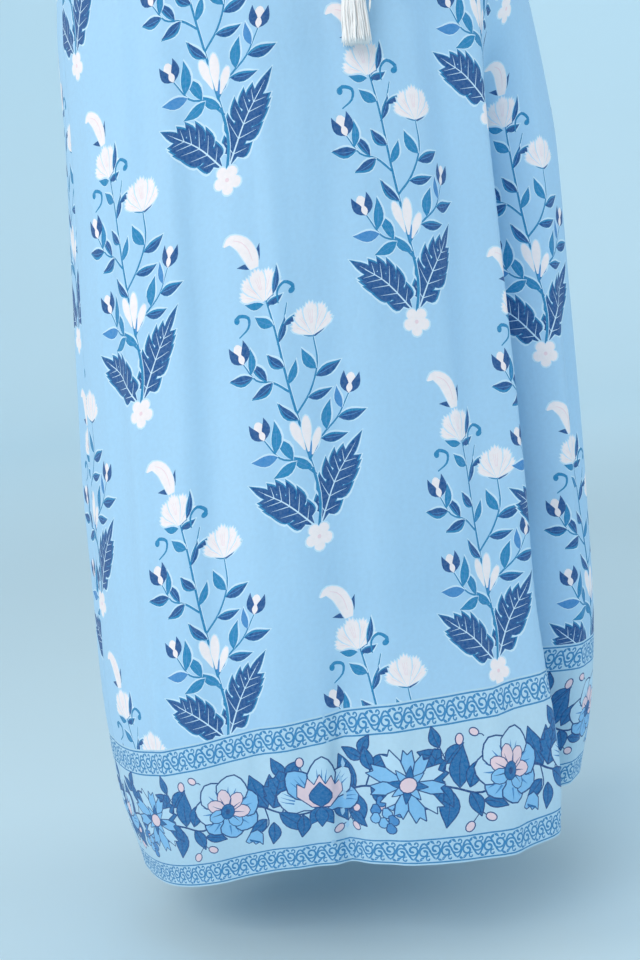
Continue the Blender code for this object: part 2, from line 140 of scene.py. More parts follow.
sectionColumns = "down shiftX shiftY halfWidth halfDepth squareness".split()
skirtSections = np.array([
    (skirtTop, 0.000, 0.000, 0.150, 0.116, 2.10),
    (0.400, 0.000, 0.000, 0.172, 0.135, 2.10),
    (0.440, 0.000, 0.000, 0.197, 0.158, 2.15),
    (0.505, 0.002, 0.000, 0.210, 0.176, 2.20),
    (0.620, 0.004, 0.000, 0.217, 0.184, 2.20),
    (0.800, 0.002, 0.000, 0.224, 0.190, 2.20),
    (1.000, -0.001, 0.000, 0.230, 0.195, 2.20),
    (1.120, -0.001, 0.008, 0.231, 0.194, 2.25),
    (1.200, 0.001, 0.022, 0.226, 0.190, 2.30),
    (dress["hemDown"], 0.006, 0.038, 0.215, 0.184, 2.30),
])
torsoColumns = "down halfWidth frontDepth backDepth squareness".split()
torsoSections = np.array([
    (0.000, 0.178, 0.000, 0.000, 2.2),
    (0.003, 0.178, 0.014, 0.014, 2.2),
    (0.012, 0.178, 0.029, 0.030, 2.2),
    (0.030, 0.177, 0.047, 0.050, 2.2),
    (0.060, 0.175, 0.067, 0.070, 2.2),
    (0.100, 0.173, 0.088, 0.088, 2.2),
    (0.150, 0.172, 0.112, 0.100, 2.2),
    (0.205, 0.173, 0.132, 0.107, 2.2),
    (0.250, 0.168, 0.135, 0.106, 2.2),
    (0.300, 0.159, 0.127, 0.108, 2.15),
    (bodiceBottom, 0.150, 0.116, 0.116, 2.1),
])

# Angles run from the wearer's left side seam (0) over the back (90) and the right seam (180) to the
# middle of the front (270). Large folds: angle at the top and hem, half angle, drop where it starts and is
# full, how far out, and the direction it is pushed in, or None for square to the cloth
skirtFolds = [
    (308.5, 311, 14, 0.50, 0.68, -0.060, None),
    (336, 336, 18, 0.50, 0.66, 0.010, None),
    (292, 294, 13, 0.60, 1.00, 0.008, None),
    (285, 285, 45, 1.03, 1.28, 0.076, 268),
    (190, 190, 60, 1.05, 1.262, -0.008, None),
    (158, 158, 18, 0.90, 1.10, -0.035, None),
    (256, 257, 8, 0.40, 0.52, -0.006, None),
    (267, 268, 8, 0.45, 0.60, 0.004, None),
    (281, 290, 8, 0.40, 0.55, -0.006, None),
    (232, 228, 11, 0.42, 0.70, -0.005, None),
    (126, 130, 16, 0.48, 0.85, -0.020, None),
    (92, 88, 14, 0.46, 0.80, -0.016, None),
    (66, 64, 12, 0.50, 0.90, 0.010, None),
    (42, 38, 17, 0.48, 0.85, -0.026, None),
]
hemLifts = [(180, 80, -0.042), (300, 50, 0.004), (345, 40, 0.004)]  # angle, half angle, lift

# Soft creases: angle at the top and hem, half angle, drops where it starts, is deepest and ends, out
skirtCreases = [
    (254.8, 253.8, 3.4, 1.05, 1.20, 1.40, -0.0068),  # the pinch in the border
    (259.5, 258.6, 3.6, 1.07, 1.22, 1.40, 0.0034),
    (256, 257, 8, 0.40, 0.52, 0.98, 0.0052),  # moves the soft valley and ridge beside it to the left
    (261, 260, 7, 0.42, 0.60, 1.00, -0.0040),
    (267, 268, 8, 0.45, 0.60, 1.00, -0.0032),
    (238, 222, 9, 0.70, 0.95, 1.18, -0.0036),
    (276, 278, 9, 0.42, 0.62, 1.05, 0.0036),
    (285.5, 292.5, 9, 0.38, 0.64, 1.10, -0.0066),
    (216, 214, 6, 0.42, 0.60, 1.05, -0.0036),
    (224, 222, 5, 0.44, 0.66, 1.20, 0.0028),
    (241, 239, 5, 0.42, 0.58, 0.85, -0.0020),
    (247, 247, 4, 0.46, 0.72, 1.15, 0.0022),
    (263, 262, 4, 0.40, 0.50, 0.74, -0.0016),
    (267, 268, 4, 0.40, 0.50, 0.66, -0.0014),
    (279, 281, 4, 0.60, 0.90, 1.25, 0.0018),
    (199, 200, 6, 0.48, 0.80, 1.22, -0.0038),
    (206, 208, 5, 0.70, 1.00, 1.30, 0.0030),
    (234, 236, 6, 0.95, 1.15, 1.40, -0.0034),
    (244, 243, 5, 0.96, 1.20, 1.45, 0.0024),
    (270, 268, 6, 1.00, 1.20, 1.40, -0.0040),
    (283, 282, 5, 1.02, 1.20, 1.40, 0.0036),
    (328, 327, 4, 0.62, 0.90, 1.20, -0.0030),
    (344, 346, 5, 0.50, 0.85, 1.25, -0.0036),
    (352, 352, 5, 0.60, 0.95, 1.30, 0.0026),
    (14, 12, 7, 0.46, 0.80, 1.30, -0.0050),
    (26, 24, 6, 0.55, 0.90, 1.35, 0.0034),
    (54, 52, 6, 0.46, 0.70, 1.10, -0.0030),
    (78, 77, 6, 0.60, 0.95, 1.40, 0.0036),
    (104, 106, 6, 0.44, 0.75, 1.20, -0.0034),
    (114, 116, 5, 0.62, 1.00, 1.40, 0.0030),
    (142, 143, 6, 0.50, 0.85, 1.25, -0.0034),
    (170, 171, 6, 0.55, 0.95, 1.30, 0.0028),
]
torsoCreases = [
    (243, 246, 7, 0.20, 0.27, 0.36, -0.0026),
    (297, 294, 7, 0.20, 0.27, 0.36, -0.0026),
    (222, 226, 7, 0.14, 0.22, 0.34, 0.0022),
    (318, 314, 7, 0.14, 0.22, 0.34, 0.0022),
    (207, 214, 8, 0.17, 0.23, 0.33, -0.0032),
    (333, 326, 8, 0.17, 0.23, 0.33, -0.0032),
    (262, 264, 6, 0.22, 0.29, 0.36, 0.0018),
    (279, 277, 6, 0.24, 0.30, 0.36, -0.0018),
    (60, 63, 8, 0.16, 0.26, 0.35, -0.0030),
    (121, 117, 8, 0.16, 0.26, 0.35, -0.0030),
    (92, 90, 7, 0.12, 0.24, 0.35, 0.0020),
    (32, 36, 8, 0.14, 0.22, 0.33, 0.0026),
    (148, 144, 8, 0.14, 0.22, 0.33, 0.0026),
]


def smooth(x):
    x = np.clip(x, 0.0, 1.0)
    return x * x * (3 - 2 * x)


def wrapped(angle):
    return (angle + 180.0) % 360.0 - 180.0


def bump(angle, halfAngle):
    share = np.abs(wrapped(angle)) / halfAngle
    return np.where(share < 1, np.cos(share * math.pi / 2) ** 2, 0.0)


def unit(vectors, least=0.0):
    return vectors / (np.linalg.norm(vectors, axis=-1, keepdims=True) + least)


def cosSin(angle):
    return np.cos(np.radians(angle)), np.sin(np.radians(angle))


def curveBetween(t, values, slopes, i, step=1.0):
    # a cubic from one value of a list to the next with the slopes given there
    start = (2 * t**3 - 3 * t**2 + 1) * values[i] + (t**3 - 2 * t**2 + t) * step * slopes[i]
    return start + (3 * t**2 - 2 * t**3) * values[i + 1] + (t**3 - t**2) * step * slopes[i + 1]


def curveAt(points, t):
    # places on a smooth curve through points, with t counting from point to point
    points = np.asarray(points, float)
    i = np.clip(t.astype(int), 0, len(points) - 2)
    return curveBetween((t - i)[:, None], points, np.gradient(points, axis=0), i)


def readColumn(table, columns, column, down):
    # a smooth curve through one column of a table of sections
    at, value = table[:, 0], table[:, columns.index(column)]
    i = np.clip(np.searchsorted(at, down) - 1, 0, len(at) - 2)
    step = at[i + 1] - at[i]
    return curveBetween((down - at[i]) / step, value, np.gradient(value, at), i, step)


def skirtColumn(column, down):
    return readColumn(skirtSections, sectionColumns, column, down)


def torsoColumn(column, down):
    return readColumn(torsoSections, torsoColumns, column, down)


def fromSeam(angle):
    return np.abs((angle + 90.0) % 180.0 - 90.0)


def gatherWave(angle):
    # puckers that differ from one to the next and die out beside the side seams
    turn = np.radians(angle)
    height = puckers["height"]
    for much, often, start in puckers["uneven"]:
        height = height + much * np.sin(often * turn + start)
    far, often, clear = puckers["strays"]
    strays = far * np.sin(often * turn) * smooth(fromSeam(angle) / clear)
    much, start = puckers["second"]
    wave = np.cos(turn * dress["gathers"] + strays) + much * np.cos(2 * turn * dress["gathers"] + start)
    return smooth(fromSeam(angle) / dress["gatherClear"]) * height * wave


def scattered(number, step, start, spread):
    # a share from 0 to 1 that jumps from each whole number to the next
    return np.mod(np.sin(number * step + start) * spread, 1.0)


def pleats(angle, below, reach, depth):
    # narrow folds pushed in where the cloth is drawn up, each with its own place, depth and length
    around = np.mod(angle + dress["pleatLean"] * below, 360.0) / 360.0 * dress["pleats"]
    cell = np.floor(around)
    one, two = scattered(cell, 12.9898, 0.5, 43758.5453), scattered(cell, 78.233, 2.0, 24634.6345)
    aside = (around - cell - 0.5 - dress["pleatShift"] * (one - 0.5)) / dress["pleatWidth"]
    shortest, shallowest = dress["pleatShortest"], dress["pleatShallowest"]
    first, grown = dress["pleatStart"]
    fade = 1 - smooth(below / (reach * (shortest + (1 - shortest) * two)))
    fade = fade * (first + (1 - first) * smooth(below / grown))
    fade = fade * smooth(fromSeam(angle) / dress["pleatClear"])
    return -depth * (shallowest + (1 - shallowest) * one) * np.exp(-aside**2) * fade


def roundPower(value, power):
    return np.sign(value) * np.abs(value) ** power


def creased(creases, angle, down, top, bottom):
    share = (down - top) / (bottom - top)
    out = np.zeros(np.broadcast(angle, down).shape)
    for topAngle, hemAngle, halfAngle, starts, deepest, ends, depth in creases:
        grown = smooth((down - starts) / (deepest - starts))
        grown = grown * (1 - smooth((down - deepest) / (ends - deepest)))
        out = out + depth * grown * bump(angle - topAngle - (hemAngle - topAngle) * share, halfAngle)
    return out


def skirtAt(angle, share, folded=True):
    # the middle of the skirt's cloth, share 0 at the casing and 1 at the hem
    down = skirtTop + (dress["hemDown"] - skirtTop) * share
    lift = sum(row[2] * bump(angle - row[0], row[1]) for row in hemLifts) * share**2
    halfWidth, halfDepth = skirtColumn("halfWidth", down), skirtColumn("halfDepth", down)
    power = 2.0 / skirtColumn("squareness", down)
    cos, sin = cosSin(angle)
    x = skirtColumn("shiftX", down) + halfWidth * roundPower(cos, power)
    y = skirtColumn("shiftY", down) + halfDepth * roundPower(sin, power)
    much, often = dress["gatherFadeVaries"]
    reach = dress["gatherFade"] * (1 + much * np.sin(np.radians(angle * often)))
    out = dress["gatherSwell"] * (1.0 - smooth((down - skirtTop) / reach)) * gatherWave(angle)
    out = out + pleats(angle, down - skirtTop, dress["pleatReach"], dress["pleatDepth"])
    out = out + creased(skirtCreases, angle, down, skirtTop, dress["hemDown"])
    for topAngle, hemAngle, halfAngle, starts, full, depth, pushed in skirtFolds:
        middle = topAngle + (hemAngle - topAngle) * share
        moved = depth * smooth((down - starts) / (full - starts)) * bump(angle - middle, halfAngle)
        if pushed is None:
            out = out + moved * folded
        else:
            x = x + moved * math.cos(math.radians(pushed))
            y = y + moved * math.sin(math.radians(pushed))
    squareX, squareY = cos / halfWidth, sin / halfDepth
    length = np.hypot(squareX, squareY)
    return np.stack([x + out * squareX / length, y + out * squareY / length, lift - down], -1)


def casingAt(angle, share):
    out = dress["casingSwell"] * np.sin(share * math.pi) + dress["casingPucker"] * gatherWave(angle)
    fine = pleats(angle, 0 * out, 1.0, dress["pleatDepth"] * dress["casingPleats"])
    ripple, middle = dress["casingRipple"], dress["casingMiddle"]
    strays = ripple["strays"] * np.sin(np.radians(angle * ripple["often"]))
    wave = np.sin(np.radians(angle * ripple["around"]) + strays)
    fine = fine * (middle + (1 - middle) * np.abs(2 * share - 1))
    fine = fine + np.sin(share * math.pi) * ripple["height"] * wave
    cos, sin = cosSin(angle)
    x = (dress["waistHalfWidth"] + out + fine) * roundPower(cos, 2.0 / dress["waistSquareness"])
    y = (dress["waistHalfDepth"] + out + fine) * roundPower(sin, 2.0 / dress["waistSquareness"])
    return np.stack([x, y, -dress["waistDown"] + dress["casingHeight"] * (0.5 - share) + 0 * out], -1)


def torsoAt(angle, share):
    # the middle of the bodice's cloth, share 0 at the shoulder line and 1 at the casing
    down = bodiceBottom * share ** dress["rowsUpwards"]
    power = 2.0 / torsoColumn("squareness", down)
    cos, sin = cosSin(angle)
    x = torsoColumn("halfWidth", down) * roundPower(cos, power)
    halfDepth = np.where(sin < 0, torsoColumn("frontDepth", down), torsoColumn("backDepth", down))
    y = halfDepth * roundPower(sin, power)
    nearWaist = 1.0 - smooth((bodiceBottom - down) / (dress["gatherFade"] / 2))
    out = dress["bodiceGather"] * nearWaist * gatherWave(angle)
    depth = dress["pleatDepth"] * dress["bodicePleats"]
    out = out + pleats(angle, bodiceBottom - down, dress["pleatReach"] / 2, depth)
    out = out + creased(torsoCreases, angle, down, 0.0, bodiceBottom)
    bust = dress["bust"]
    height = np.clip(np.abs(down - bust["down"]) / bust["reach"], 0, 1)
    aside, halfAngle = bust["aside"], bust["halfAngle"]
    pair = bump(angle - 270 + aside, halfAngle) + bump(angle - 270 - aside, halfAngle)
    out = out + bust["out"] * np.cos(height * math.pi / 2) ** 2 * pair
    y = y + out * sin
    slope = dress["shoulderSlope"] * np.maximum(0.0, np.abs(x) - dress["shoulderSlopeFrom"])
    return np.stack([x, y, -down - slope * (1 - smooth(down / dress["underarmDown"]))], -1)


def torsoShare(down):
    return (np.maximum(down, 0) / bodiceBottom) ** (1 / dress["rowsUpwards"])


def treeOf(points):
    tree = KDTree(len(points))
    for k, (x, y) in enumerate(points):
        tree.insert((x, y, 0), k)
    tree.balance()
    return tree


def layFlat(surface, fromAngle, rows, foldsAt=None):
    # a panel half way round, laid flat from its own middle and lower edge: metres across and up at each half
    # degree and row, with their slopes and a tree of every fourth row's places
    angles = fromAngle + np.linspace(0, 180, 361)
    grid = np.meshgrid(angles, np.linspace(0, 1, rows + 1))
    points = surface(*grid)
    around = np.linalg.norm(np.diff(points, axis=1), axis=-1)
    if foldsAt is not None:
        plain = np.linalg.norm(np.diff(skirtAt(*grid, folded=False), axis=1), axis=-1)
        row = int(foldsAt * rows)
        around = plain + around[row] - plain[row]  # a fold takes the same width of cloth at every height
    across = np.concatenate([np.zeros((rows + 1, 1)), np.cumsum(around, axis=1)], axis=1)
    across = across - across[:, 180:181]
    upward = np.linalg.norm(np.diff(points, axis=0), axis=-1)
    up = np.concatenate([np.cumsum(upward[::-1], axis=0)[::-1], np.zeros((1, len(angles)))])
    laid = {"surface": surface, "from": fromAngle, "rows": rows, "across": across, "up": up}
    laid["acrossByAngle"], laid["acrossByRow"] = np.gradient(across, 0.5, axis=1), np.gradient(across, axis=0)
    laid["upByAngle"], laid["upByRow"] = np.gradient(up, 0.5, axis=1), np.gradient(up, axis=0)
    places = [(i, j) for j in range(0, rows + 1, 4) for i in range(0, 361, 6)]
    laid["treePlaces"] = [(i / 2, j) for i, j in places]
    laid["tree"] = treeOf([(across[j, i], up[j, i]) for i, j in places])
    return laid


def sample(table, angle, row):
    # between four entries of a flat panel's table, by degrees into the panel and rows
    a = np.clip(angle * 2, 0, table.shape[1] - 1.001)
    r = np.clip(row, 0, table.shape[0] - 1.001)
    i, j = a.astype(int), r.astype(int)
    f, g = a - i, r - j
    low = table[j, i] * (1 - f) + table[j, i + 1] * f
    return low * (1 - g) + (table[j + 1, i] * (1 - f) + table[j + 1, i + 1] * f) * g


def toFlat(laid, angle, share):
    row = share * laid["rows"]
    angle = angle - laid["from"]
    return np.stack([sample(laid["across"], angle, row), sample(laid["up"], angle, row)], -1)


def flatOf(laid, places):
    # the same for places given as angle and share, in centimetres
    return toFlat(laid, places[:, 0], places[:, 1]) * 100


# The print is drawn flat, in centimetres with the warp upright, as shapes laid one over another
printing = {
    "sprigFoot": (-13.4, 60.6),  # of one sprig on the front skirt, from its middle and its hem edge
    "sprigAcross": (15.2, -14.2),
    "sprigUpward": (9.9, 16.3),
    "sprigLean": -2.5,  # degrees
    "leanVaries": (1.5, 3.1, 1.7),  # degrees, and how fast along the lattice's two ways
    "sprigReach": (8, 27, 2),  # aside, above and below its foot
    "sprigLeaf": (1.14, 1.18),  # on the length and width of its leaves
    "sprigStep": (12.5, -1.8, -6.6),  # right of the first figure the front's sprigs are this far aside and up
    "margin": 0.24,
    "scrollBand": 2.28,
    "field": 9.9,
    "ruledLine": 0.15,
    "borderStart": 1.5,
    "borderLeaf": (1.10, 1.22),
    "lineSlack": 0.006,  # how far a line may leave its drawn points, to have fewer of them
    "lineReach": 0.8,  # and how long a line may get by that
    "gridClear": 0.12,  # between the plain ground's points and the print's lines
    "behind": 0.96,  # tone of the cloth's inner side
}
inks = {  # as seen in even light, 0 to 255
    "navy": (14, 79, 142),
    "blue": (22, 132, 184),
    "mid": (66, 138, 200),
    "pale": (206, 231, 249),
    "white": (254, 241, 241),
    "blush": (248, 218, 224),
    "aqua": (192, 224, 244),
    "field": (188, 219, 238),
    "line": (48, 134, 190),
    "ink": (12, 68, 130),
    "leaf": (14, 106, 168),
    "sky": (134, 194, 238),
    "pink": (244, 214, 222),
    "cloth": (173, 212, 241),
}


def linear(ink):
    c = np.array(inks[ink]) / 255
    return np.where(c <= 0.04045, c / 12.92, ((c + 0.055) / 1.055) ** 2.4)


def turned(points, x, y, angle, flip=1.0):
    points = np.asarray(points, float) * (1.0, flip)
    c, s = math.cos(math.radians(angle)), math.sin(math.radians(angle))
    return np.stack([x + points[:, 0] * c - points[:, 1] * s, y + points[:, 0] * s + points[:, 1] * c], -1)


def lay(made, ink, points, x, y, angle, flip=1.0):
    # adds a shape to a motif, turned and moved to its place
    made.append((turned(points, x, y, angle, flip), ink))


def smoothLine(points, steps):
    return curveAt(points, np.linspace(0, len(points) - 1, (len(points) - 1) * steps + 1))


def sideOf(line, least=0.0):
    # square to a line, at its left
    way = unit(np.gradient(line, axis=0), least)
    return np.stack([-way[:, 1], way[:, 0]], -1)


def along(line, share):
    # a point of a line and its direction in degrees
    at = share * (len(line) - 1)
    i = min(int(at), len(line) - 2)
    step = line[i + 1] - line[i]
    return line[i] + step * (at - i), math.degrees(math.atan2(step[1], step[0]))


def stroke(line, width, start=1.0, end=1.0, middle=1.0):
    # a band along a line, with its width at both ends and the middle as shares
    line = np.asarray(line, float)
    t = np.linspace(0, 1, len(line))
    half = (width / 2 * (start * (1 - t) ** 2 + 2 * middle * t * (1 - t) + end * t**2))[:, None]
    out = sideOf(line, 1e-9) * half
    return np.concatenate([line + out, (line - out)[::-1]])


def leafShape(length, width, bend=0.0, points=7):
    t = np.linspace(0, 1, points)
    half = width / 2 * np.sin(math.pi * t**0.82) ** 1.15
    middle = bend * length * 4 * t * (1 - t)
    upper = np.stack([t * length, middle + half], -1)
    lower = np.stack([t * length, middle - half], -1)
    return np.concatenate([upper, lower[-2:0:-1]])


def toothedLeaf(length, width, teeth, bend, depth):
    def side(sign):
        made = []
        for k in range(teeth):
            for into, out in ((0.0, 1.0 - depth), (0.62, 1.10), (0.84, 1.0)):
                t = (k + into) / teeth
                half = width / 2 * math.sin(math.pi * min(1, t + 0.04) ** 0.80) ** 0.75 * out
                past = 0.05 * length if out > 1.05 else 0
                made.append((t * length + past, bend * length * 4 * t * (1 - t) + sign * half))
        return made
    return np.array([(0, 0)] + side(1)[1:] + [(length, 0)] + side(-1)[:0:-1])


def petal(length, width, scallops=3, points=11, narrow=0.16):
    # round at its end, with a few shallow scallops
    a = np.radians(np.linspace(-138, 138, points))
    wave = 1 + 0.055 * np.cos(scallops * a * 1.3)
    x = length * (0.60 + 0.38 * np.cos(a) * wave)
    y = width / 2 * np.sin(a) * wave
    return np.concatenate([[(0, -width / 2 * narrow)], np.stack([x, y], -1), [(0, width / 2 * narrow)]])


def oval(length, width, points=12):
    t = np.linspace(0, 2 * math.pi, points, endpoint=False)
    return np.stack([length / 2 * np.cos(t), width / 2 * np.sin(t)], -1)


def commaShape(length, width):
    # a fat curved drop with its point bent over
    bent = [(0, 0), (0.34, 0.02), (0.70, 0.14), (0.92, 0.40), (0.84, 0.62)]
    spine = smoothLine(np.array(bent) * length, 3)
    t = np.linspace(0, 1, len(spine))
    swell = np.sin(math.pi * np.clip(t * 0.86 + 0.12, 0, 1)) ** 0.8 * (1 - 0.35 * t)
    half = width / 2 * swell[:, None] * sideOf(spine)
    return np.concatenate([spine + half, (spine - half)[::-1]])


def spiral(radius, turns, inner=0.2, points=14):
    t = np.linspace(0, 1, points)
    r = radius * (1 - (1 - inner) * t)
    a = 2 * math.pi * turns * t
    return np.stack([r * np.cos(a), r * np.sin(a)], -1)


def printedLeaf(x, y, angle, length, width, bend, ink):
    # the pale ground of the leaf sits a little off, as two blocks do, and a dark leaf keeps a lighter edge
    made = [(turned(leafShape(length + 0.10, width + 0.16, bend), x + 0.045, y + 0.05, angle), "pale")]
    lay(made, "blue" if ink == "navy" else ink, leafShape(length, width * 0.90, bend), x, y, angle)
    if ink == "navy":
        core = leafShape(length * 0.92, width * 0.64, bend) + (0.03 * length, -0.08 * width)
        lay(made, ink, core, x, y, angle)
    if length > 1.8:
        vein = [(at * length, rise * bend * length) for at, rise in ((0.16, 0.4), (0.5, 1), (0.84, 0.5))]
        vein = smoothLine(vein, 2)
        lay(made, "mid", stroke(vein, 0.055, 1.0, 0.4), x, y, angle)
    return made


def printedLobed(x, y, angle, length, width, bend, flip):
    # a deeply lobed leaf: curved lobes off a rib, their inner parts darker, with pale veins
    rib = smoothLine([(0, 0), (0.5 * length, bend * length), (0.86 * length, 0.5 * bend * length)], 4)
    lobes = [(*along(rib, 0.70), 0.46 * length, 0.30 * width, 0)]
    for share, long in ((0.14, 0.62), (0.30, 0.82), (0.46, 0.84), (0.62, 0.72), (0.78, 0.54)):
        at, way = along(rib, share)
        for sign in (1, -1):
            turn = way + sign * (48 - 16 * share)
            lobes.append((at, turn, long * width, 0.35 * width * (1.1 - 0.3 * share), sign))
    made = []
    for more, wide, ink in ((0.14, 1.34, "pale"), (0.0, 1.0, "blue"), (-0.20, 0.90, "navy")):
        lay(made, ink, leafShape(length * 0.90, width * 0.58 * wide, bend), x, y, angle, flip)
        for at, way, long, thick, sign in lobes:
            lobe = turned(leafShape(max(0.3, long + more), thick * wide, 0.13 * sign), at[0], at[1], way)
            lay(made, ink, lobe, x, y, angle, flip)
    for at, way, long, thick, sign in lobes:
        vein = [(0, 0), (0.34 * long, 0.05 * sign * long), (0.66 * long, 0.09 * sign * long)]
        vein = turned(vein, at[0], at[1], way)
        lay(made, "pale", stroke(vein, 0.06, 1.1, 0.2), x, y, angle, flip)
    lay(made, "pale", stroke(rib, 0.12, 1.2, 0.3), x, y, angle, flip)
    return made


def notchedPetal(length, width):
    # narrow at its foot, with five small points along its end
    tips = [(0.74, 0.98), (0.90, 0.80), (0.84, 0.62), (0.98, 0.44), (0.91, 0.22), (1.02, 0.0)]
    side = [(0.0, 0.16), (0.25, 0.52), (0.52, 0.90)] + tips
    outline = [(x * length, y * width / 2) for x, y in side]
    outline += [(x * length, -y * width / 2) for x, y in side[-2::-1]]
    return np.array(outline)[::-1]


def fanBlossom(x, y, angle, size):
    made = []
    rays = ((-50, 0.80, 0.44), (50, 0.80, 0.44), (-26, 0.94, 0.44), (26, 0.94, 0.44), (0, 1.0, 0.46))
    for turn, long, wide in rays:
        lay(made, "pale", notchedPetal(size * long * 1.05, size * wide * 1.20), x, y, angle + turn)
        lay(made, "white", notchedPetal(size * long, size * wide), x, y, angle + turn)
        for aside in (-0.16, 0.02, 0.17):
            far, off = size * long, aside * size * wide
            line = [(0.34 * far, 0.4 * off), (0.74 * far, off)]
            lay(made, "blush", stroke(line, 0.032 * size, 0.5, 0.3), x, y, angle + turn)
    return made


def tulipBud(x, y, angle, size):
    made = [(turned(petal(size * 0.86, size * 0.46, 2), x, y, angle), "white")]
    for turn, bend in ((20, 0.10), (-20, -0.10)):
        lay(made, "navy", leafShape(size * 0.96, size * 0.36, bend), x, y, angle + turn)
    lay(made, "white", leafShape(size * 0.50, size * 0.26), x, y, angle)
    return made


sprigStems = {  # width, then points from the foot
    "main": (0.25, [(0.0, 0.4), (0.25, 3.6), (-0.75, 8.2), (-1.8, 13.0), (-2.6, 17.6), (-3.5, 21.4)]),
    "lowRight": (0.19, [(-0.35, 6.6), (0.8, 8.2), (2.2, 9.4), (3.3, 11.3)]),
    "lowLeft": (0.19, [(0.10, 5.2), (-1.4, 6.6), (-2.9, 7.2), (-4.1, 8.9)]),
    "midRight": (0.19, [(-1.30, 10.4), (0.0, 12.0), (0.8, 14.2), (0.6, 16.4)]),
    "midLeft": (0.18, [(-1.75, 12.4), (-3.0, 13.4), (-4.4, 13.9), (-5.4, 15.4)]),
    "upRight": (0.15, [(-2.45, 16.4), (-1.9, 18.0), (-1.5, 19.6)]),
}
sprigLeaves = [
    # stem, share along it, angle to it, length, width, bend, ink
    ("main", 0.30, 38, 2.0, 0.75, 0.06, "blue"),
    ("main", 0.34, -34, 2.1, 0.70, -0.06, "mid"),
    ("main", 0.47, 30, 2.2, 0.72, 0.08, "navy"),
    ("main", 0.60, -32, 1.8, 0.66, -0.06, "blue"),
    ("main", 0.66, 36, 1.7, 0.80, 0.08, "navy"),
    ("main", 0.75, -28, 1.9, 0.55, -0.05, "navy"),
    ("main", 0.82, 44, 1.6, 0.80, 0.08, "blue"),
    ("main", 0.90, -24, 2.0, 0.50, -0.04, "navy"),
    ("lowRight", 0.30, -50, 2.1, 0.78, -0.08, "navy"),
    ("lowRight", 0.44, 42, 2.2, 0.86, 0.08, "blue"),
    ("lowRight", 0.68, -46, 2.2, 0.92, -0.06, "navy"),
    ("lowRight", 0.80, 40, 1.7, 0.60, 0.06, "mid"),
    ("lowLeft", 0.36, 52, 2.0, 0.84, 0.06, "blue"),
    ("lowLeft", 0.42, -40, 2.3, 0.80, -0.08, "blue"),
    ("lowLeft", 0.70, 48, 2.0, 0.86, 0.06, "mid"),
    ("lowLeft", 0.76, -36, 2.4, 0.84, -0.06, "blue"),
    ("midRight", 0.26, -48, 2.0, 0.74, -0.08, "navy"),
    ("midRight", 0.52, -50, 2.2, 0.90, -0.06, "navy"),
    ("midRight", 0.60, 44, 2.0, 0.82, 0.08, "blue"),
    ("midLeft", 0.34, 50, 1.9, 0.86, 0.06, "navy"),
    ("midLeft", 0.46, -38, 2.1, 0.70, -0.06, "navy"),
    ("midLeft", 0.74, 46, 1.9, 0.90, 0.06, "navy"),
    ("midLeft", 0.80, -34, 1.9, 0.60, -0.06, "blue"),
    ("upRight", 0.45, -44, 1.5, 0.50, -0.05, "navy"),
]


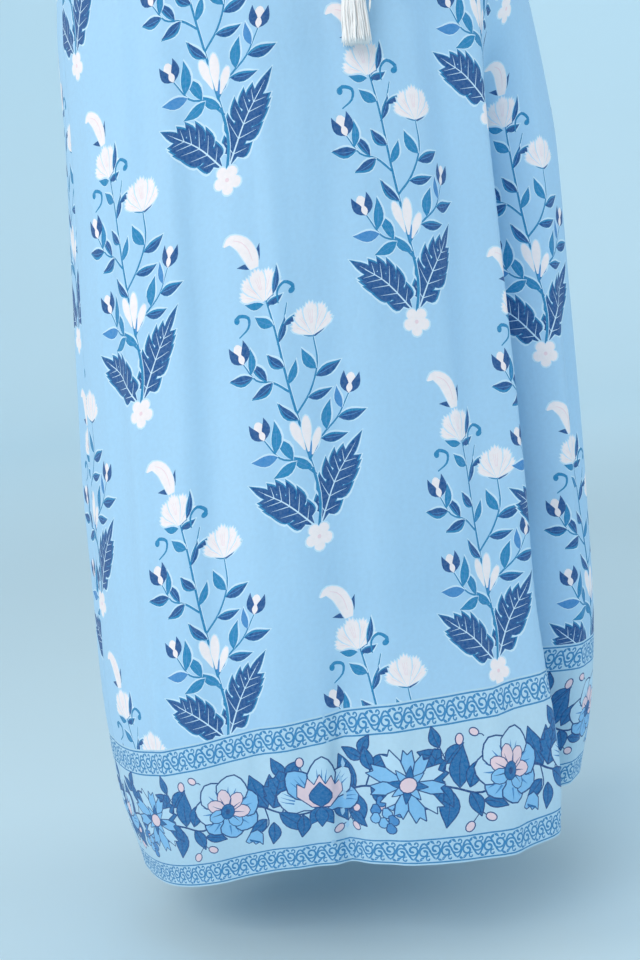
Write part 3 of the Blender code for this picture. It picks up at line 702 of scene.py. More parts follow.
def drawSprig():
    lines = {name: smoothLine(points, 4) for name, (width, points) in sprigStems.items()}
    made = printedLobed(0.2, 1.0, 60, 7.4, 2.9, 0.05, 1)
    made += printedLobed(-0.3, 1.0, 141, 6.3, 2.8, 0.06, -1)
    for name, (width, points) in sprigStems.items():
        made.append((stroke(lines[name] + (0.07, 0.03), width * 0.9, 1.0, 0.5), "pale"))
    for name, (width, points) in sprigStems.items():
        made.append((stroke(lines[name], width, 1.0, 0.45), "blue"))
    longer, wider = printing["sprigLeaf"]
    for name, share, turn, length, width, bend, ink in sprigLeaves:
        at, way = along(lines[name], share)
        made += printedLeaf(at[0], at[1], way + turn, longer * length, wider * width, bend, ink)
    # narrow buds on the main stem
    petals = ((-0.75, 7.4, 112, 2.7, 0.8), (-0.45, 7.2, 92, 3.0, 0.85), (-0.15, 6.9, 70, 2.2, 0.7))
    for x, y, angle, length, width in petals:
        lay(made, "pale", petal(length * 1.04, width * 1.2, 1), x, y, angle)
        lay(made, "white", petal(length, width, 1), x, y, angle)
    for name, size in (("lowRight", 2.0), ("lowLeft", 2.0), ("midLeft", 2.1)):
        at, way = along(lines[name], 1.0)
        made += tulipBud(at[0], at[1], 0.5 * way + 0.5 * 95, size)
    at, way = along(lines["midRight"], 1.0)
    for turn, bend in ((58, -0.12), (-58, 0.12)):
        made += printedLeaf(at[0], at[1], 92 + turn, 2.2, 1.05, bend, "navy" if turn < 0 else "blue")
    made += fanBlossom(at[0], at[1] + 0.2, 94, 2.7)
    at, way = along(lines["main"], 1.0)
    made += fanBlossom(at[0] + 0.15, at[1] - 1.2, 104, 2.7)
    made += printedLeaf(at[0] + 0.3, at[1] - 1.5, 20, 1.5, 0.7, -0.1, "navy")
    made += printedLeaf(at[0] + 0.1, at[1] - 1.5, 170, 1.6, 0.7, 0.1, "blue")
    made += printedLeaf(at[0] + 0.9, at[1] - 0.9, 80, 2.4, 0.6, -0.05, "navy")
    lay(made, "navy", leafShape(1.9, 0.5, 0.05), at[0] - 0.3, at[1] + 1.6, 80)
    lay(made, "navy", leafShape(1.7, 0.5, -0.05), at[0] - 0.3, at[1] + 1.6, 172)
    lay(made, "pale", commaShape(3.35, 1.66), at[0] - 0.5, at[1] + 1.5, 102)
    lay(made, "white", commaShape(3.2, 1.48), at[0] - 0.5, at[1] + 1.55, 102)
    crease = stroke(smoothLine([(0.6, 0.0), (1.6, 0.1), (2.4, 0.5), (2.8, 1.1)], 2), 0.10, 0.4, 0.4)
    lay(made, "blush", crease, at[0] - 0.5, at[1] + 1.6, 102)
    hook = smoothLine([(0, 0), (0.5, 0.9), (1.3, 1.1), (1.7, 0.4), (1.35, 0.05)], 3)
    for x, y, angle, flip in ((-2.2, 19.7, 30, 1), (-5.6, 17.6, 100, -1)):
        lay(made, "blue", stroke(hook, 0.26, 0.4, 1.4), x, y, angle, flip)
        lay(made, "blue", oval(0.62, 0.50, 10) + (1.42, 0.12), x, y, angle, flip)
    for size, ink in ((1.12, "pale"), (1.0, "white")):
        for turn in (-90, -18, 54, 126, 198):
            lay(made, ink, petal(1.2 * size, 1.0 * size, 1, 9), 0.0, 0.05, turn)
    made.append((oval(0.36, 0.36, 8) + (0.0, 0.05), "blush"))
    return made


def outlined(points, fill, line=0.10, sharp=0.47):
    # a filled shape with a drawn edge, in runs that break at corners whose cosine is under sharp
    made = [(points, fill)]
    n = len(points)
    breaks = []
    for k in range(n):
        a, b = points[k] - points[k - 1], points[(k + 1) % n] - points[k]
        cosine = a @ b / (np.linalg.norm(a) * np.linalg.norm(b) + 1e-9)
        if cosine < sharp:
            breaks.append(k)
    breaks = breaks or [0, n // 2]
    if len(breaks) == 1:
        breaks.append((breaks[0] + n // 2) % n)
        breaks.sort()
    for a, b in zip(breaks, breaks[1:] + [breaks[0] + n]):
        run = np.array([points[k % n] for k in range(a, b + 1)])
        made.append((stroke(run, line, 0.9, 0.9, 1.15), "ink"))
    return made


def borderLeaf(x, y, angle, length, width, bend=0.05):
    made = outlined(turned(leafShape(length, width, bend, 8), x, y, angle), "leaf", 0.11)
    rib = [(0.05 * length, 0), (0.5 * length, bend * length), (0.92 * length, 0.25 * bend * length)]
    rib = smoothLine(rib, 2)
    lay(made, "ink", stroke(rib, 0.09, 1.2, 0.3), x, y, angle)
    return made


def berry(x, y, angle, stalk, size):
    tip = turned([(stalk, 0)], x, y, angle)[0]
    made = [(stroke([(x, y), (np.array((x, y)) + tip) / 2 + 0.06, tip], 0.10), "ink")]
    middle = turned([(stalk + size / 2, 0)], x, y, angle)[0]
    return made + outlined(turned(oval(size, size * 0.74), middle[0], middle[1], angle), "pink", 0.11)


def bellFlower(x, y, angle, size):
    bell = [(0, 0), (0.25, 0.42), (0.62, 0.52), (1.0, 0.60), (0.86, 0.32), (1.06, 0.10)]
    bell += [(0.88, -0.12), (1.06, -0.36), (0.98, -0.60), (0.60, -0.50), (0.25, -0.40)]
    made = outlined(turned(np.array(bell) * size, x, y, angle), "sky", 0.11)
    mouth = np.array([(0.74, -0.40), (0.80, 0.40), (0.92, 0.30), (0.90, -0.30)]) * size
    lay(made, "leaf", mouth, x, y, angle)
    return made


peonyOuter = [
    (150, 0.92, 0.80), (-150, 0.92, 0.80), (100, 1.06, 0.86), (-100, 1.0, 0.86), (52, 1.12, 0.90),
    (-50, 1.04, 0.92), (2, 1.18, 0.96),
]
peonyInner = [(-125, 0.62), (-75, 0.70), (-22, 0.72), (28, 0.74), (78, 0.68), (128, 0.62)]


def peony(x, y, angle, size):
    made = []
    for turn, long, wide in peonyOuter:
        shape = turned(petal(size * long, size * wide, 3, 11, 0.4), x, y, angle + turn)
        made += outlined(shape, "aqua" if long > 1.05 else "sky", 0.14)
        for aside in (-9, 9):
            shade = stroke([(0.46 * size, 0), (0.64 * size, 0.02), (0.80 * size, 0)], 0.16, 1.3, 0.1)
            lay(made, "mid", shade, x, y, angle + turn + aside)
    for turn, long in peonyInner:
        shape = turned(petal(size * long, size * 0.44, 2, 9, 0.5), x, y, angle + turn)
        made += outlined(shape, "pink" if abs(turn) < 80 else "sky", 0.09)
    for k in range(7):
        streak = stroke([(0.2 * size, 0), (0.34 * size, 0.02), (0.52 * size, 0)], 0.09, 1.4, 0.2)
        lay(made, "ink", streak, x, y, angle - 120 + 40 * k)
    made += outlined(turned(oval(size * 0.50, size * 0.42), x, y, angle), "leaf", 0.10)
    lay(made, "ink", oval(size * 0.20, size * 0.16, 8), x, y, angle)
    return made


def starFlower(x, y, angle, size):
    # narrow split petals in two rounds
    made = []
    for k in range(11):
        long = size * (1.0 + 0.12 * math.sin(5 * k))
        shape = [(0.2, -0.10), (0.62, -0.19), (0.98, -0.13), (0.86, 0.0), (1.0, 0.12), (0.62, 0.19)]
        shape = np.array(shape + [(0.2, 0.10)]) * long
        made += outlined(turned(shape, x, y, angle + k * 360 / 11), "sky" if k % 3 else "aqua", 0.11)
    for k in range(8):
        shape = turned(leafShape(size * 0.52, size * 0.20, 0.0, 5), x, y, angle + 12 + k * 45)
        made += outlined(shape, "leaf" if k % 2 else "sky", 0.09)
    return made + outlined(turned(oval(size * 0.46, size * 0.42), x, y, angle), "pink", 0.11)


sidePetals = [
    (-74, 1.0, "sky"), (70, 1.04, "aqua"), (-40, 1.12, "aqua"), (36, 1.16, "sky"), (-4, 1.22, "aqua"),
]


def sideBlossom(x, y, angle, size):
    # seen from the side: a fan of petals behind a toothed cup
    made = []
    for turn, long, fill in sidePetals:
        made += outlined(turned(petal(size * long, size * 0.62, 3, 11, 0.36), x, y, angle + turn), fill, 0.14)
        for aside in (-7, 0, 7):
            shade = stroke([(0.60 * size, 0), (0.76 * size, 0.02), (0.94 * size, 0)], 0.13, 1.2, 0.1)
            lay(made, "mid", shade, x, y, angle + turn + aside)
    cup = [(0.0, -0.20), (0.30, -0.52), (0.62, -0.50), (0.50, -0.34), (0.74, -0.26), (0.56, -0.12)]
    cup += [(0.80, 0.0), (0.56, 0.13), (0.74, 0.27), (0.50, 0.34), (0.62, 0.50), (0.30, 0.52), (0.0, 0.20)]
    made += outlined(turned(np.array(cup) * size, x, y, angle), "pink", 0.10)
    made += outlined(turned(leafShape(size * 0.62, size * 0.52, 0), x, y, angle), "leaf", 0.10)
    for turn in (-150, 150, 180):
        made += outlined(turned(leafShape(size * 0.52, size * 0.30, 0), x, y, angle + turn), "leaf", 0.09)
    return made


clusterSpots = [
    (0, 0), (0.55, 0.62), (0.62, -0.55), (1.20, 0.10), (1.35, 0.95), (1.40, -0.75), (2.0, 0.35),
    (2.05, -0.35), (2.75, 0.0),
]


def smallCluster(x, y, angle):
    made = []
    for k, (dx, dy) in enumerate(clusterSpots):
        spot = turned([(dx, dy)], x, y, angle)[0]
        shape = turned(petal(1.05, 0.92, 2, 9, 0.4), spot[0], spot[1], angle + dy * 26)
        made += outlined(shape, "sky" if k % 2 else "mid", 0.10)
    return made


borderRepeat = 26.0
borderVine = [
    (0, 4.4), (2.2, 3.7), (5.0, 4.6), (7.8, 4.9), (9.6, 4.1), (11.6, 3.5), (13.6, 3.7),
    (16.0, 4.6), (18.0, 5.4), (19.8, 5.2), (21.8, 4.8), (24.0, 4.9), (26, 4.4),
]
borderStalks = [
    [(10.2, 3.9), (10.9, 5.6), (11.2, 7.6)],
    [(15.6, 4.4), (16.5, 2.9), (15.9, 1.7)],
    [(18.4, 5.4), (18.9, 7.0), (18.2, 8.4)],
    [(1.4, 3.8), (2.2, 2.6), (1.4, 1.5)],
    [(24.6, 4.9), (25.3, 6.6), (24.9, 8.2)],
    [(8.6, 4.6), (8.7, 2.9), (7.6, 1.9)],
]
borderLeaves = [
    # x, y, angle, length, width
    (8.9, 4.6, 108, 3.4, 1.55), (9.9, 4.0, -48, 3.0, 1.35), (8.6, 3.4, -150, 2.0, 0.95),
    (10.9, 5.6, 28, 2.2, 1.05), (10.7, 5.2, 140, 2.0, 0.95), (11.2, 7.4, 118, 2.1, 1.0),
    (11.2, 7.3, 44, 2.0, 0.95),
    (17.4, 5.2, 112, 3.2, 1.45), (17.0, 5.0, -82, 3.2, 1.45), (18.8, 5.3, -50, 2.8, 1.3),
    (18.9, 7.0, 24, 2.1, 0.95), (18.2, 8.3, 60, 1.7, 0.8), (18.4, 7.9, 150, 2.0, 0.9),
    (0.3, 4.4, 78, 3.3, 1.5), (1.2, 3.9, -72, 2.2, 1.05), (25.3, 4.5, -100, 3.3, 1.5),
    (24.4, 4.9, -62, 2.2, 1.0),
    (25.3, 6.6, 40, 2.2, 1.0), (24.9, 8.0, 104, 1.8, 0.85), (25.0, 7.2, 160, 2.0, 0.95),
    (12.0, 3.4, -100, 2.2, 1.0), (14.9, 4.0, -64, 2.2, 1.0),
    (1.2, 4.3, 60, 2.4, 1.1), (9.8, 4.6, 92, 3.0, 1.3), (16.6, 4.8, 84, 2.6, 1.2),
    (16.2, 3.0, -40, 2.2, 1.0), (2.3, 3.0, -20, 2.0, 0.9), (24.8, 4.4, -140, 2.2, 1.0),
    (9.2, 3.0, -100, 2.2, 1.0), (19.0, 6.8, 100, 2.0, 0.9),
]
borderBerries = [
    # x, y, angle, stalk, size
    (15.9, 1.7, 205, 0.45, 1.05), (16.2, 2.2, -48, 0.55, 1.0), (16.4, 2.6, 40, 0.6, 0.95),
    (1.4, 1.5, 230, 0.35, 1.05), (1.8, 2.0, -30, 0.6, 1.0), (20.4, 5.1, -112, 1.3, 1.0),
    (26.6, 7.4, 80, 0.6, 1.0),
    (10.8, 3.7, 92, 0.9, 0.95), (12.5, 7.4, 86, 0.7, 0.95), (3.0, 8.4, 150, 0.5, 0.9),
]


def drawBorder():
    # one repeat, its foot on the lower ruled line
    made = [(stroke(smoothLine(borderVine, 4), 0.19), "ink")]
    for points in borderStalks:
        made.append((stroke(smoothLine(points, 4), 0.14, 1, 0.6), "ink"))
    longer, wider = printing["borderLeaf"]
    for x, y, angle, length, width in borderLeaves:
        made += borderLeaf(x, y, angle, longer * length, wider * width)
    for x, y, angle, long in ((9.4, 4.5, 66, 4.0), (23.8, 4.6, 74, 3.6)):
        made += outlined(turned(toothedLeaf(long, 2.5, 4, 0.02, 0.30), x, y, angle), "leaf", 0.13)
        stalk = stroke([(0.1, 0), (1.9, 0.08), (long - 0.4, 0)], 0.13, 1.2, 0.3)
        lay(made, "ink", stalk, x, y, angle)
        for share in (0.28, 0.5, 0.7):
            for sign in (1, -1):
                at = long * share
                vein = [(at, 0), (at + 0.35, sign * 0.4), (at + 0.8, sign * 0.75)]
                lay(made, "ink", stroke(vein, 0.10, 1, 0.3), x, y, angle)
    for row in borderBerries:
        made += berry(*row)
    made += bellFlower(7.5, 2.5, -112, 1.5)
    made += smallCluster(19.4, 4.4, -78)
    made += starFlower(21.9, 5.2, 20, 3.3)
    made += peony(5.0, 5.1, 66, 3.15)
    return made + sideBlossom(13.7, 3.9, 84, 4.0)


scrollUnit = 1.9


def drawScroll():
    # one running wave with a curl to each side of it and small leaves in its corners
    t = np.linspace(0, 1, 17)
    made = [stroke(np.stack([t * scrollUnit, 1.0 + 0.68 * np.cos(2 * math.pi * t)], -1), 0.155)]
    half = scrollUnit / 2
    for x, y, start in ((half, 1.14, 190), (2 * half, 0.86, 10)):
        made.append(stroke(turned(spiral(0.54, 1.30, 0.24, 18), x, y, start), 0.15, 0.9, 1.5))
    for x, y, start in ((0.30, 0.34, 60), (0.30 + half, 1.66, 240)):
        made.append(stroke(turned(spiral(0.25, 0.9, 0.3, 9), x, y, start), 0.12, 0.9, 1.4))
    for x, y, turns in ((0.52, 1.86, (-38, 218)), (0.52 + half, 0.14, (142, 38))):
        made += [turned(leafShape(0.52, 0.24, 0.12, 5), x, y, turn) for turn in turns]
    return [(points * (1, printing["scrollBand"] / 2), "line") for points in made]


def printSprigs(low, high, start, step=None):
    # every sprig of the lattice that reaches into a box
    keys = ("sprigFoot", "sprigAcross", "sprigUpward")
    foot, across, upward = (np.array(printing[key], float) for key in keys)
    aside, above, below = printing["sprigReach"]
    varies, fast, other = printing["leanVaries"]
    motif = drawSprig()
    made = []
    for i in range(-9, 10):
        for j in range(-9, 10):
            x, y = foot + start + across * i + upward * j
            if step and x > step[0]:
                x, y = x + step[1], y + step[2]
            if low[0] - aside < x < high[0] + aside and low[1] - above < y < high[1] + below:
                lean = printing["sprigLean"] + varies * math.sin(fast * i + other * j)
                made += [(turned(points, x, y, lean), ink) for points, ink in motif]
    return made


def straightBand(left, right, low, high, ink, count=80):
    edge = np.stack([np.linspace(left, right, count), np.full(count, low)], -1)
    return np.concatenate([edge, edge[::-1] + (0, high - low)]), ink


def printBorder(left, right, start):
    # the ground, its ruled lines, both scroll bands and the flowers between them, up from the hem edge
    margin, band, rule = printing["margin"], printing["scrollBand"], printing["ruledLine"]
    fieldLow = margin + band
    fieldHigh = fieldLow + printing["field"]
    top = fieldHigh + band + margin
    made = [straightBand(left, right, -0.5, top, "field")]
    for low in (margin, fieldLow, fieldHigh, fieldHigh + band):
        made.append(straightBand(left, right, low - rule / 2, low + rule / 2, "line"))
    scroll = drawScroll()
    for low in (margin, fieldHigh):
        for k in range(math.floor(left / scrollUnit), math.ceil(right / scrollUnit)):
            made += [(points + (k * scrollUnit, low), ink) for points, ink in scroll]
    flowers = drawBorder()
    for k in range(math.floor((left - start) / borderRepeat), math.ceil((right - start) / borderRepeat)):
        made += [(points + (start + k * borderRepeat, fieldLow), ink) for points, ink in flowers]
    return made


def squareTo(surface, angle, share, proud=None):
    # straight out of the cloth, leant by the slope of what stands proud of it
    da, ds = 0.02, 0.0004  # degrees and share that the slopes are taken over
    above, below = np.clip(share - ds, 0, 1), np.clip(share + ds, 0, 1)
    aroundWay = surface(angle + da, share) - surface(angle - da, share)
    downWay = surface(angle, below) - surface(angle, above)
    aroundLong = np.linalg.norm(aroundWay, axis=-1, keepdims=True) + 1e-9
    downLong = np.linalg.norm(downWay, axis=-1, keepdims=True) + 1e-9
    out = unit(np.cross(downWay / downLong, aroundWay / aroundLong), 1e-12)
    if proud is None:
        return out
    aroundRise = (proud(angle + da, share) - proud(angle - da, share))[:, None] / aroundLong
    downRise = (proud(angle, below) - proud(angle, above))[:, None] / downLong
    return unit(out - aroundWay / aroundLong * aroundRise - downWay / downLong * downRise)


def withinRing(points, ring):
    # winding of a closed ring round each point
    ax, ay = ring[:, 0][:, None], ring[:, 1][:, None]
    bx, by = np.roll(ring[:, 0], -1)[:, None], np.roll(ring[:, 1], -1)[:, None]
    x, y = points[:, 0][None], points[:, 1][None]
    side = (bx - ax) * (y - ay) - (x - ax) * (by - ay)
    upward = (ay <= y) & (by > y) & (side > 0)
    downward = (ay > y) & (by <= y) & (side < 0)
    return (upward.sum(0) - downward.sum(0)) != 0


def inParts(measure, points, size=4000):
    # the same measure of many points, some thousands at a time
    return np.concatenate([measure(points[first:first + size]) for first in range(0, len(points), size)])


def withinLarge(points, ring):
    return inParts(lambda part: withinRing(part, ring), points)


def ringEdges(rings):
    return [pair for ring in rings for pair in zip(ring, ring[1:] + ring[:1])]


def triangulate(points, edges):
    # triangles between points, with every edge among theirs
    made = delaunay_2d_cdt([Vector(p) for p in points], edges, [], 0, 1e-4, True)
    return np.array(made[0]), np.array(made[2]), made[3]


def clothWithin(points, edges, ring):
    # the triangles inside a ring, with their centres and which given points each made point stands for
    flat, triangles, origins = triangulate(points, edges)
    centres = flat[triangles].mean(1)
    keep = withinLarge(centres, ring)
    return flat, triangles[keep], centres[keep], origins


def paintTriangles(centres, shapes):
    # the number of the uppermost shape over each triangle, -1 for bare cloth
    order = np.argsort(centres[:, 0])
    byX = centres[order]
    found = np.full(len(centres), -1)
    for k, (points, ink) in enumerate(shapes):
        low, high = points.min(0), points.max(0)
        first, last = np.searchsorted(byX[:, 0], (low[0], high[0]))
        near = np.arange(first, last)[(byX[first:last, 1] > low[1]) & (byX[first:last, 1] < high[1])]
        if len(near):
            found[order[near[withinRing(byX[near], points)]]] = k
    return found


def sidesOf(triangles):
    return np.concatenate([triangles[:, (0, 1)], triangles[:, (1, 2)], triangles[:, (2, 0)]])


def visibleLines(flat, triangles, inked, loop):
    # edges where one ink meets another, with the points that a straight line doesn't need left out
    sides = sidesOf(triangles)
    owner = np.tile(np.arange(len(triangles)), 3)
    codes = sides.min(1) * len(flat) + sides.max(1)
    order = np.argsort(codes, kind="stable")
    shared = codes[order][1:] == codes[order][:-1]
    one, other = owner[order][:-1][shared], owner[order][1:][shared]
    lines = sides[order[:-1][shared][inked[one] != inked[other]]]
    met = {}
    for a, b in lines.tolist():
        met.setdefault(a, set()).add(b)
        met.setdefault(b, set()).add(a)
    fixed = set(loop)
    for step in range(3):
        for v in list(met):
            if v in fixed or len(met[v]) != 2:
                continue
            a, b = met[v]
            edgeWay = flat[b] - flat[a]
            long = math.hypot(*edgeWay)
            toPoint = flat[v] - flat[a]
            away = abs(edgeWay[0] * toPoint[1] - edgeWay[1] * toPoint[0]) / (long + 1e-9)
            if away < printing["lineSlack"] and long < printing["lineReach"] and b not in met[a]:
                met[a].discard(v)
                met[b].discard(v)
                met[a].add(b)
                met[b].add(a)
                del met[v]
    return [(a, b) for a in met for b in met[a] if a < b]


def edgeLoop(triangles):
    # the edge's vertices in order, with the cloth on their left, and how many edges that loop leaves out
    pairs = sidesOf(triangles)
    size = triangles.max() + 1
    codes = pairs[:, 0] * size + pairs[:, 1]
    single = pairs[~np.isin(codes, pairs[:, 1] * size + pairs[:, 0])]
    follow = {}
    for a, b in single.tolist():
        follow.setdefault(a, []).append(b)
    loops = []
    for first in follow:
        loop, at = [], first
        while follow[at]:
            if at in loop:
                del loop[loop.index(at):]
            loop.append(at)
            at = follow[at].pop()
        loops.append(loop)
    loop = max(loops, key=len)
    return loop, len(single) - len(loop)


def fromFlat(laid, flat):
    # solves for the place on the cloth, from the nearest of a coarse grid
    start = np.array([laid["treePlaces"][laid["tree"].find((x, y, 0))[1]] for x, y in flat])
    angle, row = start[:, 0].copy(), start[:, 1].copy()
    longest = 8  # degrees or rows in one step
    for step in range(9):
        offX = flat[:, 0] - sample(laid["across"], angle, row)
        offY = flat[:, 1] - sample(laid["up"], angle, row)
        a, b = sample(laid["acrossByAngle"], angle, row), sample(laid["acrossByRow"], angle, row)
        c, d = sample(laid["upByAngle"], angle, row), sample(laid["upByRow"], angle, row)
        scale = a * d - b * c
        moreAngle, moreRow = (d * offX - b * offY) / scale, (a * offY - c * offX) / scale
        angle = np.clip(angle + np.clip(moreAngle, -longest, longest), 0, 180)
        row = np.clip(row + np.clip(moreRow, -longest, longest), 0, laid["rows"])
    return laid["from"] + angle, row / laid["rows"]


def onCloth(laid, flat, lift):
    # places and directions on the cloth's outer side for flat centimetres
    angle, share = fromFlat(laid, np.asarray(flat) / 100)
    out = squareTo(laid["surface"], angle, share)
    return laid["surface"](angle, share) + out * (dress["wall"] / 2 + lift), out


def clothPanel(name, laid, ring, grid, coarse, shapes, proud):
    # ring, grid and coarse are places as angle and share; shapes are the print in flat centimetres
    ringFlat, gridFlat, coarseFlat = (flatOf(laid, places) for places in (ring, grid, coarse))
    low, high = ringFlat.min(0), ringFlat.max(0)
    shapes = [s for s in shapes if (s[0].max(0) > low).all() and (s[0].min(0) < high).all()]
    number = {ink: k for k, ink in enumerate(inks)}
    shapeInks = np.array([number[ink] for shape, ink in shapes] + [number["cloth"]])
    # first every shape is cut into the cloth, to find the lines that show
    outlines = [ringFlat] + [shape for shape, ink in shapes]
    stops = np.cumsum([0] + [len(outline) for outline in outlines]).tolist()
    rings = [list(range(first, stop)) for first, stop in zip(stops, stops[1:])]
    flat, triangles, centres, origins = clothWithin(np.concatenate(outlines), ringEdges(rings), ringFlat)
    loop, left = edgeLoop(triangles)
    lines = visibleLines(flat, triangles, shapeInks[paintTriangles(centres, shapes)], loop)
    # then the cloth is made on those lines and on a plain grid
    used = sorted(set(loop) | {v for line in lines for v in line})
    renumber = {v: k for k, v in enumerate(used)}
    tree = treeOf(flat[used])
    openGrid = [p for p in gridFlat if tree.find((*p, 0))[2] > printing["gridClear"]]
    edges = [(renumber[a], renumber[b]) for a, b in lines] + ringEdges([[renumber[v] for v in loop]])
    points = np.concatenate([flat[used], openGrid])
    flat, triangles, centres, origins = clothWithin(points, edges, flat[loop])
    used, triangles = np.unique(triangles, return_inverse=True)
    triangles = triangles.reshape(-1, 3)
    flat = flat[used]
    inked = shapeInks[paintTriangles(centres, shapes)]
    # the wall's inner side has the same edge and larger triangles
    loop, left = edgeLoop(triangles)
    assert left == 0, "the cloth's edge isn't one loop"
    edgeFlat = flat[loop]
    edges = ringEdges([list(range(len(edgeFlat)))])
    points = np.concatenate([edgeFlat, coarseFlat])
    lining, liningTriangles, centres, origins = clothWithin(points, edges, edgeFlat)
    liningTriangles = liningTriangles[:, ::-1]
    place = {first: k for k, found in enumerate(origins) for first in found}
    n = len(flat)
    allFlat = np.concatenate([flat, lining]) / 100
    angle, share = fromFlat(laid, allFlat)
    off = np.abs(toFlat(laid, angle, share) - allFlat).max()
    middle = laid["surface"](angle, share)
    out = squareTo(laid["surface"], angle, share)
    leant = squareTo(laid["surface"], angle, share, proud)
    half = dress["wall"] / 2
    outer = middle + out * (half + proud(angle, share)[:, None])
    verts = np.concatenate([outer[:n], (middle - out * half)[n:]])
    normals = np.concatenate([leant[:n], -out[n:]])
    rim = [place[k] + n for k in range(len(loop))]
    rims = np.stack([loop[1:] + loop[:1], loop, rim, rim[1:] + rim[:1]], -1)
    mesh = bpy.data.meshes.new(name)
    faces = triangles.tolist() + (liningTriangles + n).tolist() + rims.tolist()
    mesh.from_pydata(verts.tolist(), [], faces)
    mesh.polygons.foreach_set("use_smooth", [True] * len(faces))
    table = np.array([(*linear(ink), 0.0 if ink == "cloth" else 1.0) for ink in inks])
    behind = table[number["cloth"]] * (*[printing["behind"]] * 3, 1)
    colors = np.concatenate([table[inked], np.tile(behind, (len(liningTriangles) + len(rims), 1))])
    sides = [3] * (len(triangles) + len(liningTriangles)) + [4] * len(rims)
    inking = mesh.color_attributes.new("print", "FLOAT_COLOR", "CORNER")
    inking.data.foreach_set("color", np.repeat(colors, sides, axis=0).ravel())
    corners = np.concatenate([triangles.ravel(), (liningTriangles + n).ravel(), rims.ravel()])
    mesh.uv_layers.new(name="cloth").data.foreach_set("uv", allFlat[corners].ravel())
    facing = normals[corners]
    side = verts[rims]
    rimFacing = unit(np.cross(side[:, 1] - side[:, 0], side[:, 2] - side[:, 1]), 1e-12)
    facing[-4 * len(rims):] = np.repeat(rimFacing, 4, axis=0)
    mesh.normals_split_custom_set(facing.tolist())
    made = addObject(name, mesh)
    count = len(triangles) + len(liningTriangles) + 2 * len(rims)
    print(name, count, "triangles, off", round(float(off) * 1000, 3), "mm")
    return made


def runOf(line):
    # how far along a line each of its points lies
    return np.concatenate([[0], np.cumsum(np.linalg.norm(np.diff(line, axis=0), axis=1))])


def ringFaces(rings, corners, inward=False, closed=False):
    # quads between rings of corners; closed joins the last ring to the first
    faces = []
    for j in range(rings if closed else rings - 1):
        for k in range(corners):
            n, other = (k + 1) % corners, (j + 1) % rings
            near, far = (j * corners + k, j * corners + n), (other * corners + k, other * corners + n)
            faces.append((near[0], far[0], far[1], near[1]) if inward else (*near, far[1], far[0]))
    return faces


# The two free ends of the cord that runs in the casing, on the routes of the part's own cords
cords = {
    "diameter": 0.0036,
    "standsOut": 0.0045,
    "beyondSkirt": 0.0035,  # for the swell of the gathers
    "clear": 0.0012,
    "hangs": 0.007,
    "step": 0.0009,  # between the cord's rings
    "shares": (0.14, 0.3, 0.5, 0.7),
    "corners": 24,
    "strands": 3,
    "twist": 0.0105,  # for one turn of its strands
    "groove": (0.24, 0.7),  # depth between the strands as a share of the radius, and how sharp it is
    "fibres": 9,
    "fibre": 0.012,
    "fibreTwist": 0.0031,
    "exits": {"right": (264.0, -0.0145, 0.128), "left": (276.0, 0.0190, 0.079)},  # degrees, tassel x, drop
}
tassels = {
    "length": 0.085,
    "spread": 0.0115,
    "clear": 0.0015,
    "strandsFrom": 0.0185,
    "bound": (0.0098, 0.0160),  # the head's stretch of winding
    "headRings": 44,
    "headCorners": 36,
    "windHeight": 0.00022,
    "windStep": 0.0011,
    "windLift": 0.0002,
    "flutes": 18,
    "fluteHeight": 0.00016,
    "rootRadius": 0.0064,
    "strands": 280,
    "strandSteps": 15,
    "strandWidth": 0.00064,
    "tipSpread": 0.0128,
    "wave": (0.0007, 9, 8),  # height, and radians along a strand for its two ways
    "flare": 0.85,
    "swell": (0.14, 30),  # of a strand's thickness, and radians along it
    "turnStep": 2.39996,  # from strand to strand, which fills a round evenly
    "uneven": 0.05,
    "strayRoot": (0.0056, -0.002),
    "strayWidth": 0.85,
    "strayLoop": (0.0022, 0.011),  # how far a stray bows out, if its tip lies farther out than that
    "head": [
        (0.0, 0.0026), (0.002, 0.0046), (0.006, 0.006), (0.0105, 0.0052), (0.013, 0.0043), (0.0155, 0.005),
        (0.02, 0.0065),
    ],
    "strays": {
        "right": [(-0.0095, -0.004, 0.0765), (0.012, -0.005, 0.058), (0.0125, -0.003, 0.060)],
        "left": [(0.009, -0.005, 0.070)],
    },
}


def through(points, spacing, count=400):
    # even steps along a smooth curve through the given points
    curve = curveAt(points, np.linspace(0, len(points) - 1, count))
    run = runOf(curve)
    steps = np.linspace(0, run[-1], max(2, round(run[-1] / spacing)) + 1)
    return np.stack([np.interp(steps, run, curve[:, k]) for k in range(3)], -1)


def skirtFrontY(x, down):
    down = np.array(max(down, skirtTop))
    halfWidth, halfDepth = float(skirtColumn("halfWidth", down)), float(skirtColumn("halfDepth", down))
    return -halfDepth * math.sqrt(1 - (x / halfWidth) ** 2)


